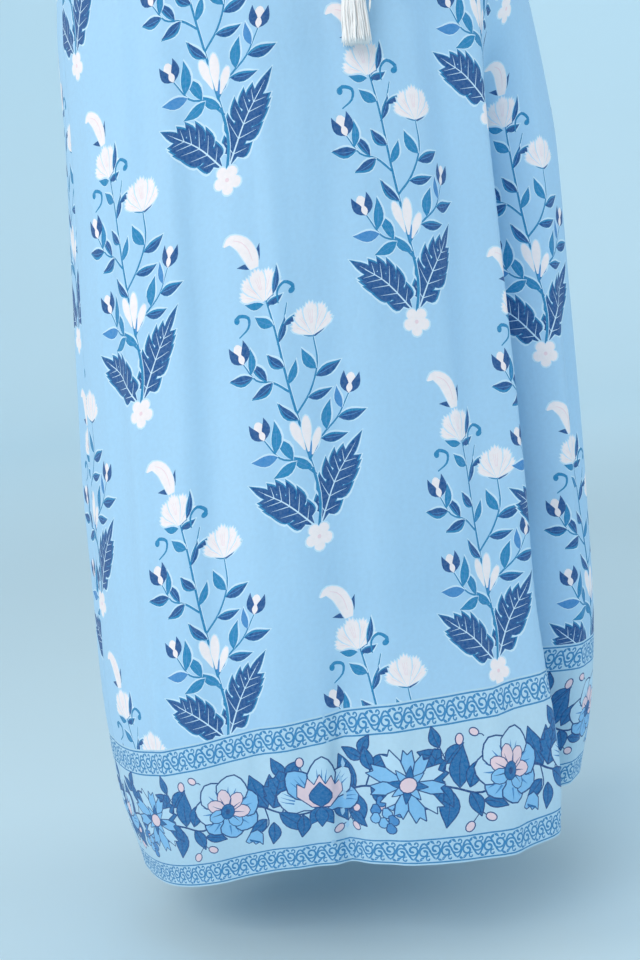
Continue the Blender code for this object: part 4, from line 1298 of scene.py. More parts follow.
def cordRoute(exitAngle, tasselX, length):
    # the same line as in the part's source
    turn = math.radians(exitAngle)
    swell = dress["casingSwell"] + dress["casingPucker"] * math.cos(turn * dress["gathers"])
    power = 2.0 / dress["waistSquareness"]
    exitX = (dress["waistHalfWidth"] + swell) * float(roundPower(np.cos(turn), power))
    middleY = (dress["waistHalfDepth"] + swell) * float(roundPower(np.sin(turn), power))
    face = middleY - cadWall / 2 - dress["seamGap"]
    route = [(exitX, face, -dress["waistDown"]), (exitX, face - cords["standsOut"], -dress["waistDown"])]
    low = dress["waistDown"] + length
    tasselY = skirtFrontY(tasselX, low + tassels["length"]) - tassels["spread"]
    tasselY = tasselY - cadWall / 2 - tassels["clear"]
    standOff = cords["beyondSkirt"] + cadWall / 2 + cords["diameter"] / 2 + cords["clear"]
    for share in cords["shares"]:
        down = dress["waistDown"] + length * share
        x = exitX + (tasselX - exitX) * share
        route.append((x, min(face + (tasselY - face) * share, skirtFrontY(x, down) - standOff), -down))
    for above in (2 * cords["hangs"], cords["hangs"], 0.0):
        route.append((tasselX, tasselY, above - low))
    return route


def newPiece(name, verts, faces):
    mesh = bpy.data.meshes.new(name)
    mesh.from_pydata([tuple(v) for v in verts], [], faces)
    mesh.polygons.foreach_set("use_smooth", [True] * len(faces))
    return addObject(name, mesh)


def lengthOf(line):
    return float(np.linalg.norm(np.diff(line, axis=0), axis=1).sum())


def framesAlong(line):
    # directions along a line with a side and a second side that don't twist
    way = unit(np.gradient(line, axis=0))
    side = np.cross(way[0], (0.3, 0.1, 0.9))
    sides = []
    for direction in way:
        side = unit(side - direction * (side @ direction))
        sides.append(side)
    return way, np.array(sides), np.cross(way, np.array(sides))


def tube(line, radii):
    # closed tube: radii for each ring and corner
    way, one, two = framesAlong(line)
    rings, corners = radii.shape
    turn = np.linspace(0, 2 * math.pi, corners, endpoint=False)
    aroundLine = one[:, None] * np.cos(turn)[None, :, None] + two[:, None] * np.sin(turn)[None, :, None]
    verts = (line[:, None] + aroundLine * radii[:, :, None]).reshape(-1, 3)
    ends = [tuple(range(corners))[::-1], tuple(range((rings - 1) * corners, rings * corners))]
    return verts, ringFaces(rings, corners) + ends


def addCord(side):
    line = through(cordRoute(*cords["exits"][side]), cords["step"])
    run = 2 * math.pi * np.linspace(0, lengthOf(line), len(line))[:, None]
    turn = np.linspace(0, 2 * math.pi, cords["corners"], endpoint=False)
    lobes = np.abs(np.cos(cords["strands"] / 2 * (turn[None] + run / cords["twist"])))
    fibre = cords["fibre"] * np.sin(cords["fibres"] * turn[None] - run / cords["fibreTwist"])
    groove, sharp = cords["groove"]
    radii = cords["diameter"] / 2 * (1 - groove + groove * lobes**sharp + fibre)
    return newPiece("cord_" + side, *tube(line, radii)), line


def addTassel(side, top):
    # a bound head, then its strands, each one slightly waved
    random = np.random.default_rng(7 if side == "right" else 11)
    root = top - np.array((0, 0, dress["seamGap"]))
    drop, radius = np.array(tassels["head"]).T
    levels = np.linspace(0, drop[-1], tassels["headRings"])
    turn = np.linspace(0, 2 * math.pi, tassels["headCorners"], endpoint=False)
    rings = np.interp(levels, drop, radius)
    bound = (levels > tassels["bound"][0]) & (levels < tassels["bound"][1])
    wound = tassels["windHeight"] * np.sin(2 * math.pi * levels[:, None] / tassels["windStep"] + turn[None])
    fluted = tassels["fluteHeight"] * np.sin(tassels["flutes"] * turn[None] + 40 * levels[:, None] / drop[-1])
    ridges = np.where(bound[:, None], wound, fluted)
    radii = rings[:, None] + ridges + np.where(bound[:, None], tassels["windLift"], 0.0)
    axis = root - np.stack([0 * levels, 0 * levels, levels], -1)
    head = newPiece("tassel_" + side + "_head", *tube(axis, radii))
    verts, faces = [], []

    def addStrand(start, end, length, width, loop=0.0):
        t = np.linspace(0, 1, tassels["strandSteps"])
        phase = random.uniform(0, 6.28, 2)
        high, one, other = tassels["wave"]
        wave = np.stack([np.sin(one * t + phase[0]), np.sin(other * t + phase[1])], -1)
        wave = high * wave * t[:, None]
        place = start[None] + (end - start)[None] * (t ** tassels["flare"])[:, None] + wave
        line = np.concatenate([place, (root[2] - tassels["strandsFrom"] - length * t)[:, None]], -1)
        line[:, 0] += loop * np.sin(math.pi * np.clip(t * 1.25 - 0.25, 0, 1)) ** 2
        swell, often = tassels["swell"]
        plies = width * (1 + swell * np.sin(often * t + phase[0]))[:, None] * np.ones((1, 4))
        plies[-1] *= 0.5
        more, moreFaces = tube(line, plies)
        faces.extend([tuple(v + len(verts) for v in face) for face in moreFaces])
        verts.extend(more)

    for k in range(tassels["strands"]):
        share = math.sqrt((k + 0.5) / tassels["strands"])
        a = k * tassels["turnStep"]
        start = root[:2] + tassels["rootRadius"] * 0.94 * share * np.array((math.cos(a), math.sin(a)))
        spread = tassels["tipSpread"] * share * random.uniform(0.88, 1.0)
        across, along = a + random.uniform(-0.12, 0.12), a + random.uniform(-0.12, 0.12)
        end = root[:2] + spread * np.array((math.cos(across), math.sin(along)))
        length = tassels["length"] - tassels["strandsFrom"]
        length *= 1 - tassels["uneven"] * random.uniform(0, 1) ** 1.5
        addStrand(start, end, length, tassels["strandWidth"] * random.uniform(0.8, 1.1))
    aside, forward = tassels["strayRoot"]
    thin = tassels["strandWidth"] * tassels["strayWidth"]
    bow, farther = tassels["strayLoop"]
    for x, y, down in tassels["strays"][side]:
        start = root[:2] + np.array((math.copysign(aside, x), forward))
        end, length = root[:2] + np.array((x, y)), down - tassels["strandsFrom"]
        addStrand(start, end, length, thin, bow * (x > farther))
    return head, newPiece("tassel_" + side + "_strands", verts, faces)


cordPieces = {}
for side in ("right", "left"):
    cord, line = addCord(side)
    head, strands = addTassel(side, line[-1])
    cordPieces[side] = (cord, head, strands)
    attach(cord, "root")
    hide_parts("drawstring_" + side)
    for tassel in (head, strands):
        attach(tassel, "root")
        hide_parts("tassel_" + side)


# Panels: each is a closed wall of cloth of its own, its print cut into the mesh
panels = {
    "skirt": {
        "tableRows": 240,  # of the flat map
        "foldsAt": 0.62,  # the height whose folds every row's width takes over
        "edgeStep": 0.6,  # degrees
        "across": 1.5,  # degrees between the points of the plain ground
        "rows": 118,
        "lining": (1.8, 60),  # degrees and rows of the inner side's points
        "sheet": ((0.74, 0.93), 0.64),  # flat size and area
    },
    "casing": {
        "tableRows": 40,
        "edgeStep": 0.5,
        "across": 0.7,
        "rows": 10,
        "lining": (2.4, 4),
        "sheet": ((0.50, 0.025), None),
        "degree": 0.0024,  # metres to a degree beside the side seams
    },
    "bodice": {
        "tableRows": 160,
        "edgeStep": 0.6,
        "across": 1.6,
        "rows": 60,
        "lining": (4.0, 26),
        "edgeClear": (0.15, 0.5),  # from the edge to the ground's and the lining's points, in centimetres
        "sheet": ((0.45, 0.36), 0.13),
        "degree": 0.0026,
        "edgePoints": {"side": 60, "armhole": 110, "shoulder": 16, "neck": 70},
    },
    "edgeRows": 150,
    "gatherAcross": 0.7,
    "gatherShare": 0.13,  # of a panel's height
    "gatherRows": 1.2,  # rows there against those elsewhere
    "hemTurn": 0.008,
    "edgeTurn": 0.007,
    "turnThickness": 0.0004,
    "foldWidth": 0.0012,  # of the step beside a turned edge
    "seamDip": 0.0005,
    "seamReach": 0.0022,
}
seamDegrees = 0.045  # half of the gap between two panels


def seamDip(distance):
    return -panels["seamDip"] * (1 - smooth(distance / panels["seamReach"]))


def turnedEdge(distance, width):
    fold = panels["foldWidth"]
    return panels["turnThickness"] * (1 - smooth((distance - width + fold) / fold))


def evenSteps(a, b, step):
    return np.linspace(a, b, max(2, int(abs(b - a) / step) + 1))


def boxRing(low, high, step):
    # round a whole panel, from share 1 up to 0 and back
    across, down = evenSteps(low, high, step), np.linspace(0.0, 1.0, panels["edgeRows"])
    sides = [(a, 1.0) for a in across] + [(high, s) for s in down[::-1][1:]]
    sides += [(a, 0.0) for a in across[::-1][1:]] + [(low, s) for s in down[1:-1]]
    return np.array(sides)


def boxGrid(low, high, top, bottom, step, rows):
    across = np.arange(low + step / 2, high - step / 4, step)
    shares = top + (bottom - top) * (np.arange(rows) + 0.5) / rows
    places = [(a + (0.25 if j % 2 else -0.25) * step, s) for j, s in enumerate(shares) for a in across]
    return np.array(places)


def gatheredGrid(kind, low, high, gathered, rest):
    # closer across where the cloth is drawn up
    part, step, rows = panels["gatherShare"], panels[kind]["across"], panels[kind]["rows"]
    middle = gathered + (rest - gathered) * part
    nearRows = round(rows * part * panels["gatherRows"])
    near = boxGrid(low, high, *sorted((gathered, middle)), panels["gatherAcross"], nearRows)
    far = boxGrid(low, high, *sorted((middle, rest)), step, rows - round(rows * part))
    return np.concatenate([near, far])


def sewn(piece, node, flat, area):
    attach(piece, "root")
    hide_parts(node)


def buildSkirt(node, fromAngle, sprigStart, borderStart, sprigStep):
    own = panels["skirt"]
    laid = layFlat(skirtAt, fromAngle, own["tableRows"], own["foldsAt"])
    low, high = fromAngle + seamDegrees, fromAngle + 180 - seamDegrees
    ring = boxRing(low, high, own["edgeStep"])
    grid = gatheredGrid("skirt", low, high, 0.0, 1.0)
    coarse = boxGrid(low, high, 0.0, 1.0, *own["lining"])

    def proud(angle, share):
        flat = toFlat(laid, angle, share)
        left, right = (sample(laid["across"], 0 * angle + end, share * laid["rows"]) for end in (0, 180))
        aside = np.minimum(flat[:, 0] - left, right - flat[:, 0])
        return turnedEdge(flat[:, 1], panels["hemTurn"]) + seamDip(aside)

    edges = flatOf(laid, ring)
    least, most = edges.min(0), edges.max(0)
    shapes = printSprigs(least, most, sprigStart, sprigStep)
    shapes += printBorder(least[0] - 1, most[0] + 1, borderStart)
    piece = clothPanel(node + "_cloth", laid, ring, grid, coarse, shapes, proud)
    sewn(piece, node, *own["sheet"])
    return piece, laid, []


def buildCasing(node, fromAngle, sprigStart):
    own = panels["casing"]
    laid = layFlat(casingAt, fromAngle, own["tableRows"])
    low, high = fromAngle + seamDegrees, fromAngle + 180 - seamDegrees
    ring = boxRing(low, high, own["edgeStep"])
    grid = boxGrid(low, high, 0.0, 1.0, own["across"], own["rows"])
    coarse = boxGrid(low, high, 0.0, 1.0, *own["lining"])

    def proud(angle, share):
        return seamDip(np.minimum(angle - fromAngle, fromAngle + 180 - angle) * own["degree"])

    edges = flatOf(laid, ring)
    shapes = printSprigs(edges.min(0), edges.max(0), sprigStart)
    piece = clothPanel(node + "_cloth", laid, ring, grid, coarse, shapes, proud)
    sewn(piece, node, *own["sheet"])
    return piece, laid, []


def torsoAngle(x, down):
    # from the side seam to the place that lies x from the middle
    power = torsoColumn("squareness", down) / 2.0
    return np.degrees(np.arccos(np.clip(x / torsoColumn("halfWidth", down), 0, 1) ** power))


def bodiceHalf(neckDown):
    # from the side seam at the waist up to the armhole, the shoulder and round the neck to the middle, as
    # degrees from the side seam and drop
    least = 0.00003
    points = panels["bodice"]["edgePoints"]
    ease, below, above = dress["armholeCurve"]
    side = [(seamDegrees, d) for d in np.linspace(bodiceBottom, dress["underarmDown"], points["side"])]
    t = np.linspace(0, 1, points["armhole"])[1:]
    down = np.maximum(dress["underarmDown"] * (1 - smooth(t)) ** ease, least)
    turn = dress["armholeTurn"]
    lower = np.maximum(0.0, (down - turn) / (dress["underarmDown"] - turn))
    upper = np.maximum(0.0, (turn - down) / turn)
    sideX = float(torsoColumn("halfWidth", np.array(dress["underarmDown"])))
    x = dress["armholeWaist"] + (sideX - dress["armholeWaist"]) * lower**below
    x = x + (dress["shoulderEnd"] - dress["armholeWaist"]) * upper**above
    armhole = list(zip(np.maximum(torsoAngle(x, down), seamDegrees), down))
    x = np.linspace(dress["shoulderEnd"], dress["neckHalfWidth"], points["shoulder"])[1:]
    shoulder = list(zip(torsoAngle(x, np.full(len(x), least)), np.full(len(x), least)))
    turn = np.linspace(math.pi / 2, 0, points["neck"])[1:]
    down = np.maximum(neckDown * np.cos(turn), least)
    neck = list(zip(torsoAngle(dress["neckHalfWidth"] * np.sin(turn), down), down))
    return side, armhole, shoulder, neck


def buildBodice(node, fromAngle, sprigStart, neckDown):
    own = panels["bodice"]
    laid = layFlat(torsoAt, fromAngle, own["tableRows"])
    side, armhole, shoulder, neck = bodiceHalf(neckDown)
    half = np.array(side + armhole + shoulder + neck)
    half[-1, 0] = 90.0
    waist = np.array([(a, bodiceBottom) for a in evenSteps(90, seamDegrees, own["edgeStep"])])[1:-1]
    # the half from angle 0 upwards, then its mirror image back down, and the waist's middle between them
    up = np.concatenate([waist, half])
    mirrored = np.stack([180 - up[::-1, 0], up[::-1, 1]], -1)[1:]
    ring = np.concatenate([up, mirrored, [(90.0, bodiceBottom)]])
    ring = np.stack([fromAngle + ring[:, 0], torsoShare(ring[:, 1])], -1)
    edges = flatOf(laid, ring)
    fine = gatheredGrid("bodice", fromAngle, fromAngle + 180, 1.0, 0.0)
    coarse = boxGrid(fromAngle, fromAngle + 180, 0.0, 1.0, *own["lining"])
    kept = []
    for grid, clear in zip((fine, coarse), own["edgeClear"]):
        flat = flatOf(laid, grid)
        away = np.min(np.linalg.norm(flat[:, None] - edges[None, ::2], axis=-1), axis=1) > clear
        kept.append(grid[withinLarge(flat, edges) & away])
    # open edges in flat metres: each armhole and half neck, then its mirror image
    openEdges = []
    for run in (np.array(armhole), np.array(neck)):
        for angle in (run[:, 0], 180 - run[:, 0]):
            openEdges.append(toFlat(laid, fromAngle + angle, torsoShare(run[:, 1])))
    openPoints = np.concatenate(openEdges)

    def proud(angle, share):
        flat = toFlat(laid, angle, share)
        near = inParts(lambda part: np.linalg.norm(part[:, None] - openPoints[None], axis=-1).min(1), flat)
        aside = np.minimum(angle - fromAngle, fromAngle + 180 - angle) * own["degree"]
        below = share > torsoShare(dress["underarmDown"]) - 0.01
        return turnedEdge(near, panels["edgeTurn"]) + np.where(below, seamDip(aside), 0.0)

    shapes = printSprigs(edges.min(0), edges.max(0), sprigStart)
    piece = clothPanel(node + "_cloth", laid, ring, kept[0], kept[1], shapes, proud)
    sewn(piece, node, *own["sheet"])
    return piece, laid, openEdges


build = {"skirt": buildSkirt, "casing": buildCasing, "bodice": buildBodice}
# Each panel's first angle and where its sprigs begin in flat centimetres, then a skirt panel's border and the
# step among its sprigs, or the drop of a bodice panel's neck
begins = {
    "skirt_front": (180.0, (0.0, 0.0), printing["borderStart"], printing["sprigStep"]),
    "skirt_back": (0.0, (5.0, 3.0), 9.0, None),
    "casing_front": (180.0, (3.0, 12.0)),
    "casing_back": (0.0, (1.0, 5.0)),
    "bodice_front": (180.0, (6.0, 2.0), dress["frontNeckDown"]),
    "bodice_back": (0.0, (2.0, 8.0), dress["backNeckDown"]),
}
clothPieces, flats, openEdges = {}, {}, {}
for node, values in begins.items():
    clothPieces[node], flats[node], openEdges[node] = build[node.split("_")[0]](node, *values)


# Sewing: hem, casing, neck and armholes
sewingAt = {
    "hem": 0.62,  # up from the edge, in centimetres
    "casing": 0.16,
    "openEdge": 0.56,
    "stitch": (0.36, 0.26),  # from one to the next, and its length
    "casingStitch": (0.3, 0.22),
    "spindle": ((0.0, 0.25, -0.4), (0.28, 0.95, 0.6), (0.72, 0.95, 0.6), (1.0, 0.25, -0.4)),
    "eyeletInner": 0.0019,
    "eyeletOuter": 0.0038,
    "eyeletHigh": 0.00045,
    "eyeletRidges": (0.18, 24),  # their depth as a share, and how many
    "threadWidth": 0.00034,
    "threadLift": 0.00035,
}


def stitchRow(laid, line, stitch="stitch"):
    # sewing along a flat line in centimetres: each stitch is a small spindle lying on the cloth, given as
    # shares of its length, thickness and height
    run = runOf(line)
    spacing, length = sewingAt[stitch]
    middles = np.arange(spacing / 2, run[-1] - spacing / 4, spacing)
    ends = []
    for d in (-length / 2, length / 2):
        ends.append(np.stack([np.interp(middles + d, run, line[:, k]) for k in (0, 1)], -1))
    (start, out), (stop, other) = (onCloth(laid, end, sewingAt["threadLift"]) for end in ends)
    way = stop - start
    aside = unit(np.cross(out, way))
    verts = []
    for t, thick, high in sewingAt["spindle"]:
        for a in (45, 135, 225, 315):
            turn = math.radians(a)
            spread = aside * math.cos(turn) + out * (math.sin(turn) + high)
            verts.append(start + way * t + spread * thick * sewingAt["threadWidth"] / 2)
    verts = np.stack(verts, 1).reshape(-1, 3)
    one = ringFaces(4, 4) + [(3, 2, 1, 0), (12, 13, 14, 15)]
    faces = [tuple(v + 16 * s for v in face) for s in range(len(middles)) for face in one]
    return verts, faces


def sewing(name, rows):
    # joins rows of stitches into one piece
    verts, faces = [], []
    for row, more in rows:
        faces += [tuple(v + len(verts) for v in face) for face in more]
        verts += list(row)
    piece = newPiece(name, verts, faces)
    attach(piece, "root")
    return piece


def levelLine(laid, up, reach=0.15, count=200):
    # a line round the panel at a height above its lower edge
    angles = laid["from"] + np.linspace(reach, 180 - reach, count)
    share = 1 - up / 100 / laid["up"][0].mean()
    line = toFlat(laid, angles, np.full(count, share)) * 100
    line[:, 1] = up
    return line


def insetLine(run, aside):
    # a line beside an open edge, on its cloth's side
    line = run * 100
    return (line + sideOf(line, 1e-9) * aside)[3:-3]


def openEdgeRows(laid, edges):
    # every second edge is a mirror image, with its cloth on the other side
    asides = [sewingAt["openEdge"] * (-1) ** k for k in range(len(edges))]
    return [stitchRow(laid, insetLine(run, aside)) for run, aside in zip(edges, asides)]


stitching = {}
hems = [flats[node] for node in ("skirt_front", "skirt_back")]
hemRows = [stitchRow(laid, levelLine(laid, sewingAt["hem"])) for laid in hems]
stitching["hem"] = sewing("hem_stitches", hemRows)
casingRows = []
for laid in (flats["casing_front"], flats["casing_back"]):
    for up in (sewingAt["casing"], dress["casingHeight"] * 100 - sewingAt["casing"]):
        casingRows.append(stitchRow(laid, levelLine(laid, up), "casingStitch"))
stitching["casing"] = sewing("casing_stitches", casingRows)
for node in ("bodice_front", "bodice_back"):
    stitching[node] = sewing(node + "_stitches", openEdgeRows(flats[node], openEdges[node]))


def addEyelet(side):
    # worked in thread round the place where the cord leaves the casing
    x, y, z = cordRoute(*cords["exits"][side])[0]
    angle = np.array([cords["exits"][side][0]])
    seat = casingAt(angle, np.array([0.5]))[0]
    out = squareTo(casingAt, angle, np.array([0.5]))[0]
    seat = np.array((x, seat[1] + out[1] * dress["wall"] / 2, z))
    across = unit(np.cross((0, 0, 1), out))
    upward = np.cross(out, across)
    inner, outer = sewingAt["eyeletInner"], sewingAt["eyeletOuter"]
    middle, thick = (inner + outer) / 2, (outer - inner) / 2
    depth, many = sewingAt["eyeletRidges"]
    verts, rings, corners = [], 96, 10
    for k in range(rings):
        a = 2 * math.pi * k / rings
        ridge = 1 - depth + depth * math.cos(many * a)
        for m in range(corners):
            b = 2 * math.pi * m / corners
            r = middle + thick * ridge * math.cos(b)
            high = sewingAt["eyeletHigh"] * ridge * (math.sin(b) + 0.4)
            verts.append(seat + across * r * math.cos(a) + upward * r * math.sin(a) + out * high)
    piece = newPiece("eyelet_" + side, verts, ringFaces(rings, corners, inward=True, closed=True))
    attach(piece, "root")
    return piece


for side in ("right", "left"):
    stitching["eyelet " + side] = addEyelet(side)
print("sewing done:", sum(len(piece.data.polygons) for piece in stitching.values()), "faces")


# Finishes
finishes = {
    "clothRoughness": 0.82,
    "clothSheen": 0.12,
    "specular": 0.12,
    "inkWear": 0.14,  # how much of the cloth shows through the ink
    "inkMottle": 380.0,
    "driftSize": 9.0,
    "driftTone": (0.965, 1.03),
    "slubSize": 260.0,
    "slubTone": (0.95, 1.05),
    "slubRoughness": (-0.06, 0.08),
    "weaveSize": 0.00042,  # between threads
    "weaveBump": 0.000025,
    "crumpleSize": 42.0,
    "crumpleBump": 0.0016,
    "threadRoughness": 0.78,
    "threadSheen": 0.25,
    "fibreTone": (0.90, 1.07),
    "threadColor": (0.46, 0.70, 0.93),
    "cordColor": (0.84, 0.81, 0.77),
    "tasselColor": (1.0, 0.97, 0.965),
}


def addNode(tree, kind, place, inputs, **settings):
    # an input is given as its value or as the output that feeds it
    node = tree.nodes.new(kind)
    node.location = place
    for key, value in settings.items():
        setattr(node, key, value)
    for key, value in inputs.items():
        if isinstance(value, bpy.types.NodeSocket):
            tree.links.new(value, node.inputs[key])
        else:
            node.inputs[key].default_value = value
    return node


def addMath(tree, operation, place, *values):
    return addNode(tree, "ShaderNodeMath", place, dict(enumerate(values)), operation=operation).outputs[0]


def addNoise(tree, place, vector, scale, detail, more=()):
    inputs = {"Vector": vector, "Scale": scale, "Detail": detail, **dict(more)}
    return addNode(tree, "ShaderNodeTexNoise", place, inputs).outputs["Fac"]


def addRange(tree, place, value, least, most, more=()):
    inputs = {"Value": value, "To Min": least, "To Max": most, **dict(more)}
    return addNode(tree, "ShaderNodeMapRange", place, inputs).outputs[0]


def addMix(tree, place, factor, one, other):
    inputs = {"Factor": factor, "A": one, "B": other}
    return addNode(tree, "ShaderNodeMix", place, inputs, data_type="RGBA").outputs["Result"]


def cottonGroup():
    # slow blotches of tone, fine mottling of the ink, and the height of the weave and of small crumples
    tree = bpy.data.node_groups.new("cottonCloth", "ShaderNodeTree")
    tree.interface.new_socket("Color", in_out="INPUT", socket_type="NodeSocketColor")
    for name, value in (("Ink", 0.0), ("Threads", 2400.0), ("Crumple", 1.0)):
        socket = tree.interface.new_socket(name, in_out="INPUT", socket_type="NodeSocketFloat")
        socket.default_value = value
    for name, kind in (("Color", "Color"), ("Roughness", "Float"), ("Height", "Float")):
        tree.interface.new_socket(name, in_out="OUTPUT", socket_type="NodeSocket" + kind)
    given = addNode(tree, "NodeGroupInput", (-1200, 0), {}).outputs
    uv = addNode(tree, "ShaderNodeUVMap", (-1200, -300), {}, uv_map="cloth").outputs[0]
    # tone that drifts over a few centimetres, and a little from thread to thread
    drift = addNoise(tree, (-900, 300), uv, finishes["driftSize"], 3.0)
    drift = addRange(tree, (-700, 300), drift, *finishes["driftTone"])
    slub = addNoise(tree, (-900, 0), uv, finishes["slubSize"], 2.0)
    slubTone = addRange(tree, (-700, 0), slub, *finishes["slubTone"])
    tone = addMath(tree, "MULTIPLY", (-460, 200), drift, slubTone)
    # the ink lies unevenly and lets a little of the cloth through
    patch = addNoise(tree, (-900, 560), uv, finishes["inkMottle"], 4.0, {"Roughness": 0.65})
    between = {"From Min": 0.3, "From Max": 0.75}
    worn = addRange(tree, (-700, 560), patch, 0.0, finishes["inkWear"], between)
    worn = addMath(tree, "MULTIPLY", (-500, 560), worn, given["Ink"])
    mixed = addMix(tree, (-300, 460), worn, given["Color"], (*linear("pale"), 1))
    toned = addNode(tree, "ShaderNodeVectorMath", (-60, 360), {0: mixed, "Scale": tone}, operation="SCALE")
    # threads: two crossed waves
    split = addNode(tree, "ShaderNodeSeparateXYZ", (-1000, -300), {0: uv}).outputs
    waves = []
    for axis, place in (("X", -200), ("Y", -420)):
        times = addMath(tree, "MULTIPLY", (-820, place), split[axis], given["Threads"])
        turn = addMath(tree, "MULTIPLY", (-660, place), times, 2 * math.pi)
        waves.append(addMath(tree, "SINE", (-500, place), turn))
    weave = addMath(tree, "MULTIPLY", (-320, -300), *waves)
    weave = addMath(tree, "MULTIPLY", (-120, -400), weave, finishes["weaveBump"])
    # small crumples, longer along the warp
    stretch = {"Vector": uv, "Scale": (1.0, 0.45, 1.0)}
    stretched = addNode(tree, "ShaderNodeMapping", (-1000, -700), stretch).outputs[0]
    crumple = addNoise(tree, (-800, -700), stretched, finishes["crumpleSize"], 3.0, {"Distortion": 0.4})
    crumple = addMath(tree, "MULTIPLY", (-500, -700), crumple, finishes["crumpleBump"])
    crumple = addMath(tree, "MULTIPLY", (-320, -700), crumple, given["Crumple"])
    roughness = [finishes["clothRoughness"] + more for more in finishes["slubRoughness"]]
    addNode(tree, "NodeGroupOutput", (900, 0), {
        "Color": toned.outputs[0],
        "Roughness": addRange(tree, (200, 100), slub, *roughness),
        "Height": addMath(tree, "ADD", (100, -400), weave, crumple),
    })
    return tree


def shaderOf(name, roughness, sheen=0.0):
    made = bpy.data.materials.new(name)
    made.use_nodes = True
    shader = made.node_tree.nodes["Principled BSDF"]
    shader.inputs["Roughness"].default_value = roughness
    shader.inputs["Sheen Weight"].default_value = sheen
    shader.inputs["Sheen Roughness"].default_value = 0.5
    shader.inputs["Specular IOR Level"].default_value = finishes["specular"]
    return made, made.node_tree, shader


def addBump(tree, shader, place, height, distance):
    bumped = addNode(tree, "ShaderNodeBump", place, {"Height": height, "Distance": distance})
    tree.links.new(bumped.outputs["Normal"], shader.inputs["Normal"])


def printedCotton():
    made, tree, shader = shaderOf("printed cotton", finishes["clothRoughness"], finishes["clothSheen"])
    ink = addNode(tree, "ShaderNodeAttribute", (-700, 200), {}, attribute_name="print").outputs
    inputs = {"Color": ink["Color"], "Ink": ink["Alpha"], "Threads": 1 / finishes["weaveSize"]}
    cotton = addNode(tree, "ShaderNodeGroup", (-420, 200), inputs, node_tree=cottonGroup()).outputs
    tree.links.new(cotton["Color"], shader.inputs["Base Color"])
    tree.links.new(cotton["Roughness"], shader.inputs["Roughness"])
    addBump(tree, shader, (-200, -200), cotton["Height"], 1.0)
    return made


def spunCotton(name, color, scale, lift):
    # thread and cord: fibres run in fine streaks of tone and height
    made, tree, shader = shaderOf(name, finishes["threadRoughness"], finishes["threadSheen"])
    where = addNode(tree, "ShaderNodeTexCoord", (-900, 0), {}).outputs["Object"]
    stretch = {"Vector": where, "Scale": (1.0, 1.0, 0.25)}
    stretched = addNode(tree, "ShaderNodeMapping", (-720, 0), stretch).outputs[0]
    fibre = addNoise(tree, (-540, 0), stretched, scale, 4.0)
    dark, light = ((*[min(1.0, c * tone) for c in color], 1) for tone in finishes["fibreTone"])
    tree.links.new(addMix(tree, (-300, 150), fibre, dark, light), shader.inputs["Base Color"])
    addBump(tree, shader, (-300, -200), fibre, lift)
    return made


printed = printedCotton()
for piece in clothPieces.values():
    piece.data.materials.append(printed)
threadFinish = spunCotton("sewing thread", finishes["threadColor"], 2200, 0.0001)
for piece in stitching.values():
    piece.data.materials.append(threadFinish)
cordFinish = spunCotton("cream cord", finishes["cordColor"], 1400, 0.0003)
tasselFinish = spunCotton("cream tassel thread", finishes["tasselColor"], 1800, 0.0002)
for cord, head, strands in cordPieces.values():
    for piece, finish in ((cord, cordFinish), (head, tasselFinish), (strands, tasselFinish)):
        piece.data.materials.append(finish)


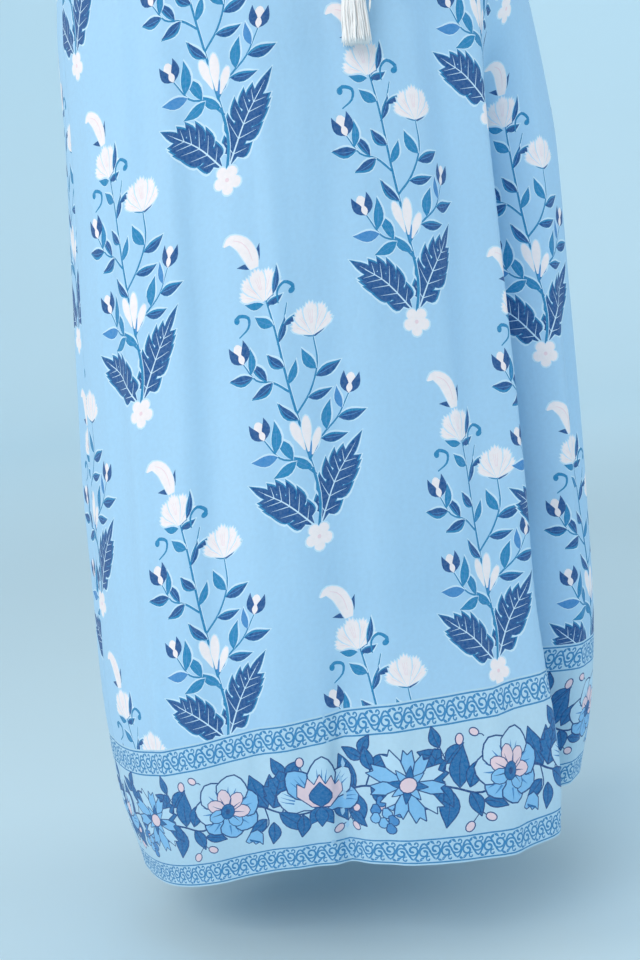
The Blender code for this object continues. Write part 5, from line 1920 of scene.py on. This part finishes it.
# A round pale studio and soft light
studio = {
    "floor": -1.36,
    "radius": 6.0,
    "sweep": 1.5,  # radius of the curve between floor and wall
    "wallHeight": 4.5,
    "sides": 96,
    "color": (0.65, 0.85, 0.955),
    "fill": (1.0, 1.0, 1.0),
    "fillStrength": 0.52,
    "dress": (0.0, 0.0, -0.70),
    "upperDress": (0.0, 0.0, -0.57),
}
lamps = {  # place, what it points at, power, size, color
    "key": ((-2.3, -2.6, 0.9), studio["upperDress"], 67.0, 2.2, (1.0, 0.92, 0.85)),
    "side": ((-3.3, 0.4, 0.5), studio["dress"], 26.0, 1.4, (1.0, 0.90, 0.80)),
    "right": ((3.2, -0.9, 0.2), studio["dress"], 30.0, 2.0, (1.0, 1.0, 1.0)),
    "backdrop right": ((2.6, 2.6, 1.2), (2.0, 5.5, 0.3), 19.0, 2.0, (1.0, 1.0, 1.0)),
    "backdrop left": ((-1.2, 3.4, 1.2), (-1.0, 5.5, 0.0), 9.0, 2.0, (1.0, 1.0, 1.0)),
}


def addStudio():
    # a floor that sweeps up into a round wall
    sides, sweep = studio["sides"], studio["sweep"]
    level = studio["radius"] - sweep
    curve = [(r, 0.0) for r in np.linspace(0.4, 1.0, 8)[:-1] * level]
    for a in np.linspace(0, math.pi / 2, 12):
        curve.append((level + sweep * math.sin(a), sweep - sweep * math.cos(a)))
    curve.append((studio["radius"], studio["wallHeight"]))
    verts = [(0.0, 0.0, studio["floor"])]
    for r, z in curve:
        turn = np.linspace(0, 2 * math.pi, sides, endpoint=False)
        verts += [(r * math.cos(a), r * math.sin(a), studio["floor"] + z) for a in turn]
    faces = [(0, 1 + k, 1 + (k + 1) % sides) for k in range(sides)]
    faces += [tuple(v + 1 for v in face) for face in ringFaces(len(curve), sides, inward=True)]
    stage = newPiece("studio", verts, faces)
    made, tree, shader = shaderOf("studio paint", 0.9)
    where = addNode(tree, "ShaderNodeTexCoord", (-800, 0), {}).outputs["Object"]
    noise = addNoise(tree, (-600, 0), where, 0.8, 2.0)
    dark, light = ((*[c * tone for c in studio["color"]], 1) for tone in (0.98, 1.02))
    tree.links.new(addMix(tree, (-300, 0), noise, dark, light), shader.inputs["Base Color"])
    stage.data.materials.append(made)


def addLamp(name, place, target, power, size, color):
    data = bpy.data.lights.new(name, "AREA")
    data.energy = power
    data.size = size
    data.color = color
    lamp = addObject(name, data)
    lamp.location = place
    lamp.rotation_euler = (Vector(target) - Vector(place)).to_track_quat("-Z", "Y").to_euler()


addStudio()
world = bpy.data.worlds.new("soft daylight")
world.use_nodes = True
sky = world.node_tree.nodes["Background"].inputs
sky["Color"].default_value = (*studio["fill"], 1)
sky["Strength"].default_value = studio["fillStrength"]
bpy.context.scene.world = world
for name, values in lamps.items():
    addLamp(name, *values)
print("studio and light made")
